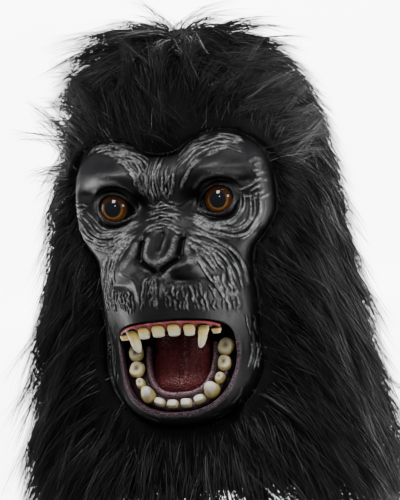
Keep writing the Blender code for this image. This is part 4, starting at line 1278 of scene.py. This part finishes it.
# The fur is trimmed close round the latex, where it stands up and hides the latex's edge
FRINGE_STRANDS = 7000
links = np.diff(closed_face, axis=0)
link_sizes = np.linalg.norm(links, axis=1)
picked = chance.choice(len(links), FRINGE_STRANDS, p=link_sizes / link_sizes.sum())
on_loop = closed_face[picked] + links[picked] * chance.random((FRINGE_STRANDS, 1))
outward = unit(links[picked])[:, ::-1] * (1, -1)
if ((on_loop - middle) * outward).sum() < 0:
    outward = -outward
set_out = chance.uniform(-0.5, 8.0, (FRINGE_STRANDS, 1))
fringe_front = on_loop + outward * set_out
nearest = np.empty(FRINGE_STRANDS, int)
for start in range(0, FRINGE_STRANDS, 500):
    block = slice(start, start + 500)
    apart = on_loop[block, None] - edge_flat[None]
    nearest[block] = (apart**2).sum(-1).argmin(1)
fringe_root = np.stack([
    fringe_front[:, 0], -(edge_forward[nearest] - 4.0 - 0.7 * set_out[:, 0]), fringe_front[:, 1]
], 1)
outward_3d = np.stack([outward[:, 0], np.zeros(FRINGE_STRANDS), outward[:, 1]], 1)
rising = np.where(fringe_front[:, 1:] > -95, 0.5, -0.45) * np.array([0, 0, 1.0])
lean = outward_3d * chance.normal(0.45, 0.35, (FRINGE_STRANDS, 1)) + (0, -0.7, 0) + rising
lean = unit(lean + chance.normal(0, 0.22, (FRINGE_STRANDS, 3)))
fall = unit(outward_3d * 0.7 + rising * 1.3)
fringe_length = chance.uniform(9, 19, (FRINGE_STRANDS, 1, 1))
fringe_way = lean[:, None] * steps[None, :, None] + fall[:, None] * (0.55 * steps**2)[None, :, None]
strand = np.concatenate([strand, fringe_root[:, None] + fringe_way * fringe_length])

# No hair hangs lower than the longest tufts at the hem, which end unevenly
lowest = HEM_END + np.abs(chance.normal(0, 14, len(strand)))
drop = np.maximum(strand[:, :1, 2] - strand[:, -1:, 2], 1e-6)
allowed = np.clip((strand[:, :1, 2] - lowest[:, None]) / drop, 0.1, 1)
strand = strand[:, :1] + (strand - strand[:, :1]) * allowed[..., None]
strand = strand[(np.abs(strand[..., 0]).max(1) < SIDE_END) & (strand[..., 1].max(1) < BACK_END)]
tone = chance.random(len(strand))
width = STRAND_WIDTH * chance.uniform(0.6, 1.3, len(strand))

tangent = unit(np.gradient(strand, axis=1))
facing = unit(chance.normal(0, 1, (len(strand), 1, 3)) * 0.7 + unit(strand * (1, 1, 0.2)))
ribbon_side = unit(np.cross(tangent, facing))
taper = np.array([0.9, 1.0, 0.9, 0.65, 0.12])
half_width = width[:, None, None] / 2 * taper[None, :, None]
left_edge = strand + ribbon_side * half_width
right_edge = strand - ribbon_side * half_width


def fur_fibre():
    """Black fibre with a soft charcoal light; strands differ a little in tone."""
    material, tree, shader = new_material("black_fur_fibre")
    tone_value = attribute(tree, "tone")
    along = attribute(tree, "along")
    shade = mixed(tree, tone_value, (0.0025, 0.0025, 0.003), (0.011, 0.011, 0.012))
    # Painted shade: each strand is darker towards its root, deep in the pile.
    colour = mixed(tree, spread(tree, along, 0.0, 0.6), (0.002, 0.002, 0.002), shade)
    tree.links.new(colour, shader.inputs["Base Color"])
    rough = spread(tree, tone_value, 0.0, 1.0, 0.40, 0.62)
    tree.links.new(rough, shader.inputs["Roughness"])
    shader.inputs["Specular IOR Level"].default_value = 0.35
    return material


fibre = fur_fibre()
quad = np.arange(STRAND_POINTS - 1)
for piece in range(STRAND_PIECES):
    part = slice(piece, None, STRAND_PIECES)
    left_part, right_part = left_edge[part], right_edge[part]
    count = len(left_part)
    points = np.stack([left_part, right_part], 2).reshape(-1, 3) * MM
    first = (np.arange(count) * STRAND_POINTS * 2)[:, None] + quad * 2
    faces = np.stack([first, first + 1, first + 3, first + 2], -1).reshape(-1, 4)
    name = f"fur_strands_{piece + 1}"
    mesh = bpy.data.meshes.new(name)
    mesh.vertices.add(len(points))
    mesh.vertices.foreach_set("co", points.astype(np.float32).reshape(-1))
    mesh.loops.add(faces.size)
    mesh.loops.foreach_set("vertex_index", faces.astype(np.int32).reshape(-1))
    mesh.polygons.add(len(faces))
    mesh.polygons.foreach_set("loop_start", np.arange(len(faces), dtype=np.int32) * 4)
    mesh.update(calc_edges=True)
    mesh.shade_smooth()
    fur = bpy.data.objects.new(name, mesh)
    bpy.context.scene.collection.objects.link(fur)
    paint(fur, "tone", np.repeat(tone[part], STRAND_POINTS * 2))
    paint(fur, "along", np.tile(np.repeat(steps, 2), count))
    fur.data.materials.append(fibre)
    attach(fur, "root")

coat_mesh = backing_node.data.copy()
shape = bmesh.new()
shape.from_mesh(coat_mesh)
bmesh.ops.remove_doubles(shape, verts=shape.verts, dist=0.02 * MM)
shape.normal_update()
outside = [v for v in shape.verts]
tri, normals, _ = outer_skin()
known_place = {tuple(np.round(p, 1)): n for p, n in zip(tri.reshape(-1, 3), normals.reshape(-1, 3))}
drop = []
for v in outside:
    key = tuple(np.round(np.array(v.co[:]) / MM, 1))
    if key in known_place:
        v.co += Vector(known_place[key]) * UNDERCOAT_DEPTH * MM
    else:
        drop.append(v)
bmesh.ops.delete(shape, geom=drop, context="VERTS")
shape.to_mesh(coat_mesh)
shape.free()
coat_mesh.shade_smooth()
coat_mesh.materials.clear()
undercoat = bpy.data.objects.new("fur_undercoat", coat_mesh)
bpy.context.scene.collection.objects.link(undercoat)
thick = undercoat.modifiers.new("thick", "SOLIDIFY")
thick.thickness = (UNDERCOAT_DEPTH - 1.0) * MM
thick.offset = -1
paint(undercoat, "along", np.full(len(coat_mesh.vertices), 0.35))
paint(undercoat, "tone", np.full(len(coat_mesh.vertices), 0.2))


def undercoat_fur():
    material, tree, shader = new_material("dense_black_undercoat")
    strands = grain(tree, 1.0 * MM, 4.0, (1.0, 1.0, 14.0))
    colour = mixed(tree, strands, (0.001, 0.001, 0.001), (0.007, 0.007, 0.008))
    tree.links.new(colour, shader.inputs["Base Color"])
    shader.inputs["Roughness"].default_value = 0.9
    shader.inputs["Specular IOR Level"].default_value = 0.2
    bumped(tree, shader, strands, 2.0 * MM, 1.0)
    return material


undercoat.data.materials.append(undercoat_fur())
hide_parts("fur_pile")
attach(undercoat, "root")


# The studio: a pale floor under the mask that curves up into a backdrop, three soft lights
# and a camera in front of the face, turned a little to its left and tilted with its head.
CAMERA_TURN = math.radians(14)
CAMERA_RISE = math.radians(2)
CAMERA_TILT = math.radians(5.5)
CAMERA_DISTANCE = 2.2
CAMERA_TARGET = Vector((0.02272, -0.09969, -0.16270))
CAMERA_LENS = 208.4
SENSOR_HEIGHT = 36.0

camera_back = Vector((
    math.sin(CAMERA_TURN) * math.cos(CAMERA_RISE),
    -math.cos(CAMERA_TURN) * math.cos(CAMERA_RISE),
    math.sin(CAMERA_RISE),
))
level_right = Vector((math.cos(CAMERA_TURN), math.sin(CAMERA_TURN), 0))
level_up = camera_back.cross(level_right)
camera_right = level_right * math.cos(CAMERA_TILT) - level_up * math.sin(CAMERA_TILT)
camera_up = level_right * math.sin(CAMERA_TILT) + level_up * math.cos(CAMERA_TILT)
camera = bpy.data.objects.new("camera", bpy.data.cameras.new("camera"))
bpy.context.scene.collection.objects.link(camera)
camera.data.sensor_fit = "VERTICAL"
camera.data.sensor_height = SENSOR_HEIGHT
camera.data.lens = CAMERA_LENS
camera.data.clip_end = 50
turned = Matrix((camera_right, camera_up, camera_back)).transposed().to_4x4()
camera.matrix_world = Matrix.Translation(CAMERA_TARGET + camera_back * CAMERA_DISTANCE) @ turned
bpy.context.scene.camera = camera

FLOOR_DROP = 0.42
FLOOR_HALF = 4.0
bend = [(-0.1, 0.0), (4.2, 0.0)]
bend += [(4.2 + 0.8 * math.sin(a), 0.8 - 0.8 * math.cos(a)) for a in np.linspace(0.1, math.pi / 2, 12)]
bend.append((5.0, FLOOR_HALF))
floor_points = [(side * FLOOR_HALF, y, z - FLOOR_DROP) for y, z in bend for side in (-1, 1)]
floor_faces = [(2 * i, 2 * i + 1, 2 * i + 3, 2 * i + 2) for i in range(len(bend) - 1)]
floor = mesh_from("studio_floor", floor_points, floor_faces)
floor_material, tree, shader = new_material("pale_studio_paper")
shader.inputs["Base Color"].default_value = (0.90, 0.90, 0.90, 1)
shader.inputs["Roughness"].default_value = 0.8
shader.inputs["Emission Color"].default_value = (1, 1, 1, 1)
shader.inputs["Emission Strength"].default_value = 6.5
floor.data.materials.append(floor_material)

LIGHTS = (
    # name, direction seen from the mask as right, up and towards the camera, size, watts
    ("key", (-0.42, 1.08, 1.0), 0.45, 14),
    ("fill", (0.95, 0.35, 1.0), 0.35, 4),
    ("catch", (-0.20, 0.30, 1.0), 0.16, 1.5),
    ("top", (0.10, 1.35, 0.50), 0.6, 8),
    ("left_rim", (-1.3, 0.25, -0.4), 0.6, 3),
    ("right_rim", (1.3, 0.35, -0.4), 0.6, 3),
)
LIGHT_DISTANCE = 1.5
for name, (to_right, to_up, to_front), size, watts in LIGHTS:
    data = bpy.data.lights.new(name, "AREA")
    data.shape = "SQUARE"
    data.size = size
    data.energy = watts
    lamp = bpy.data.objects.new(name, data)
    bpy.context.scene.collection.objects.link(lamp)
    way = (level_right * to_right + level_up * to_up + camera_back * to_front).normalized()
    lamp.location = CAMERA_TARGET + way * LIGHT_DISTANCE
    lamp.rotation_euler = way.to_track_quat("Z", "Y").to_euler()

world = bpy.data.worlds.new("studio_air")
bpy.context.scene.world = world
world.use_nodes = True
air = world.node_tree.nodes["Background"]
air.inputs["Color"].default_value = (1, 1, 1, 1)
air.inputs["Strength"].default_value = 0.20
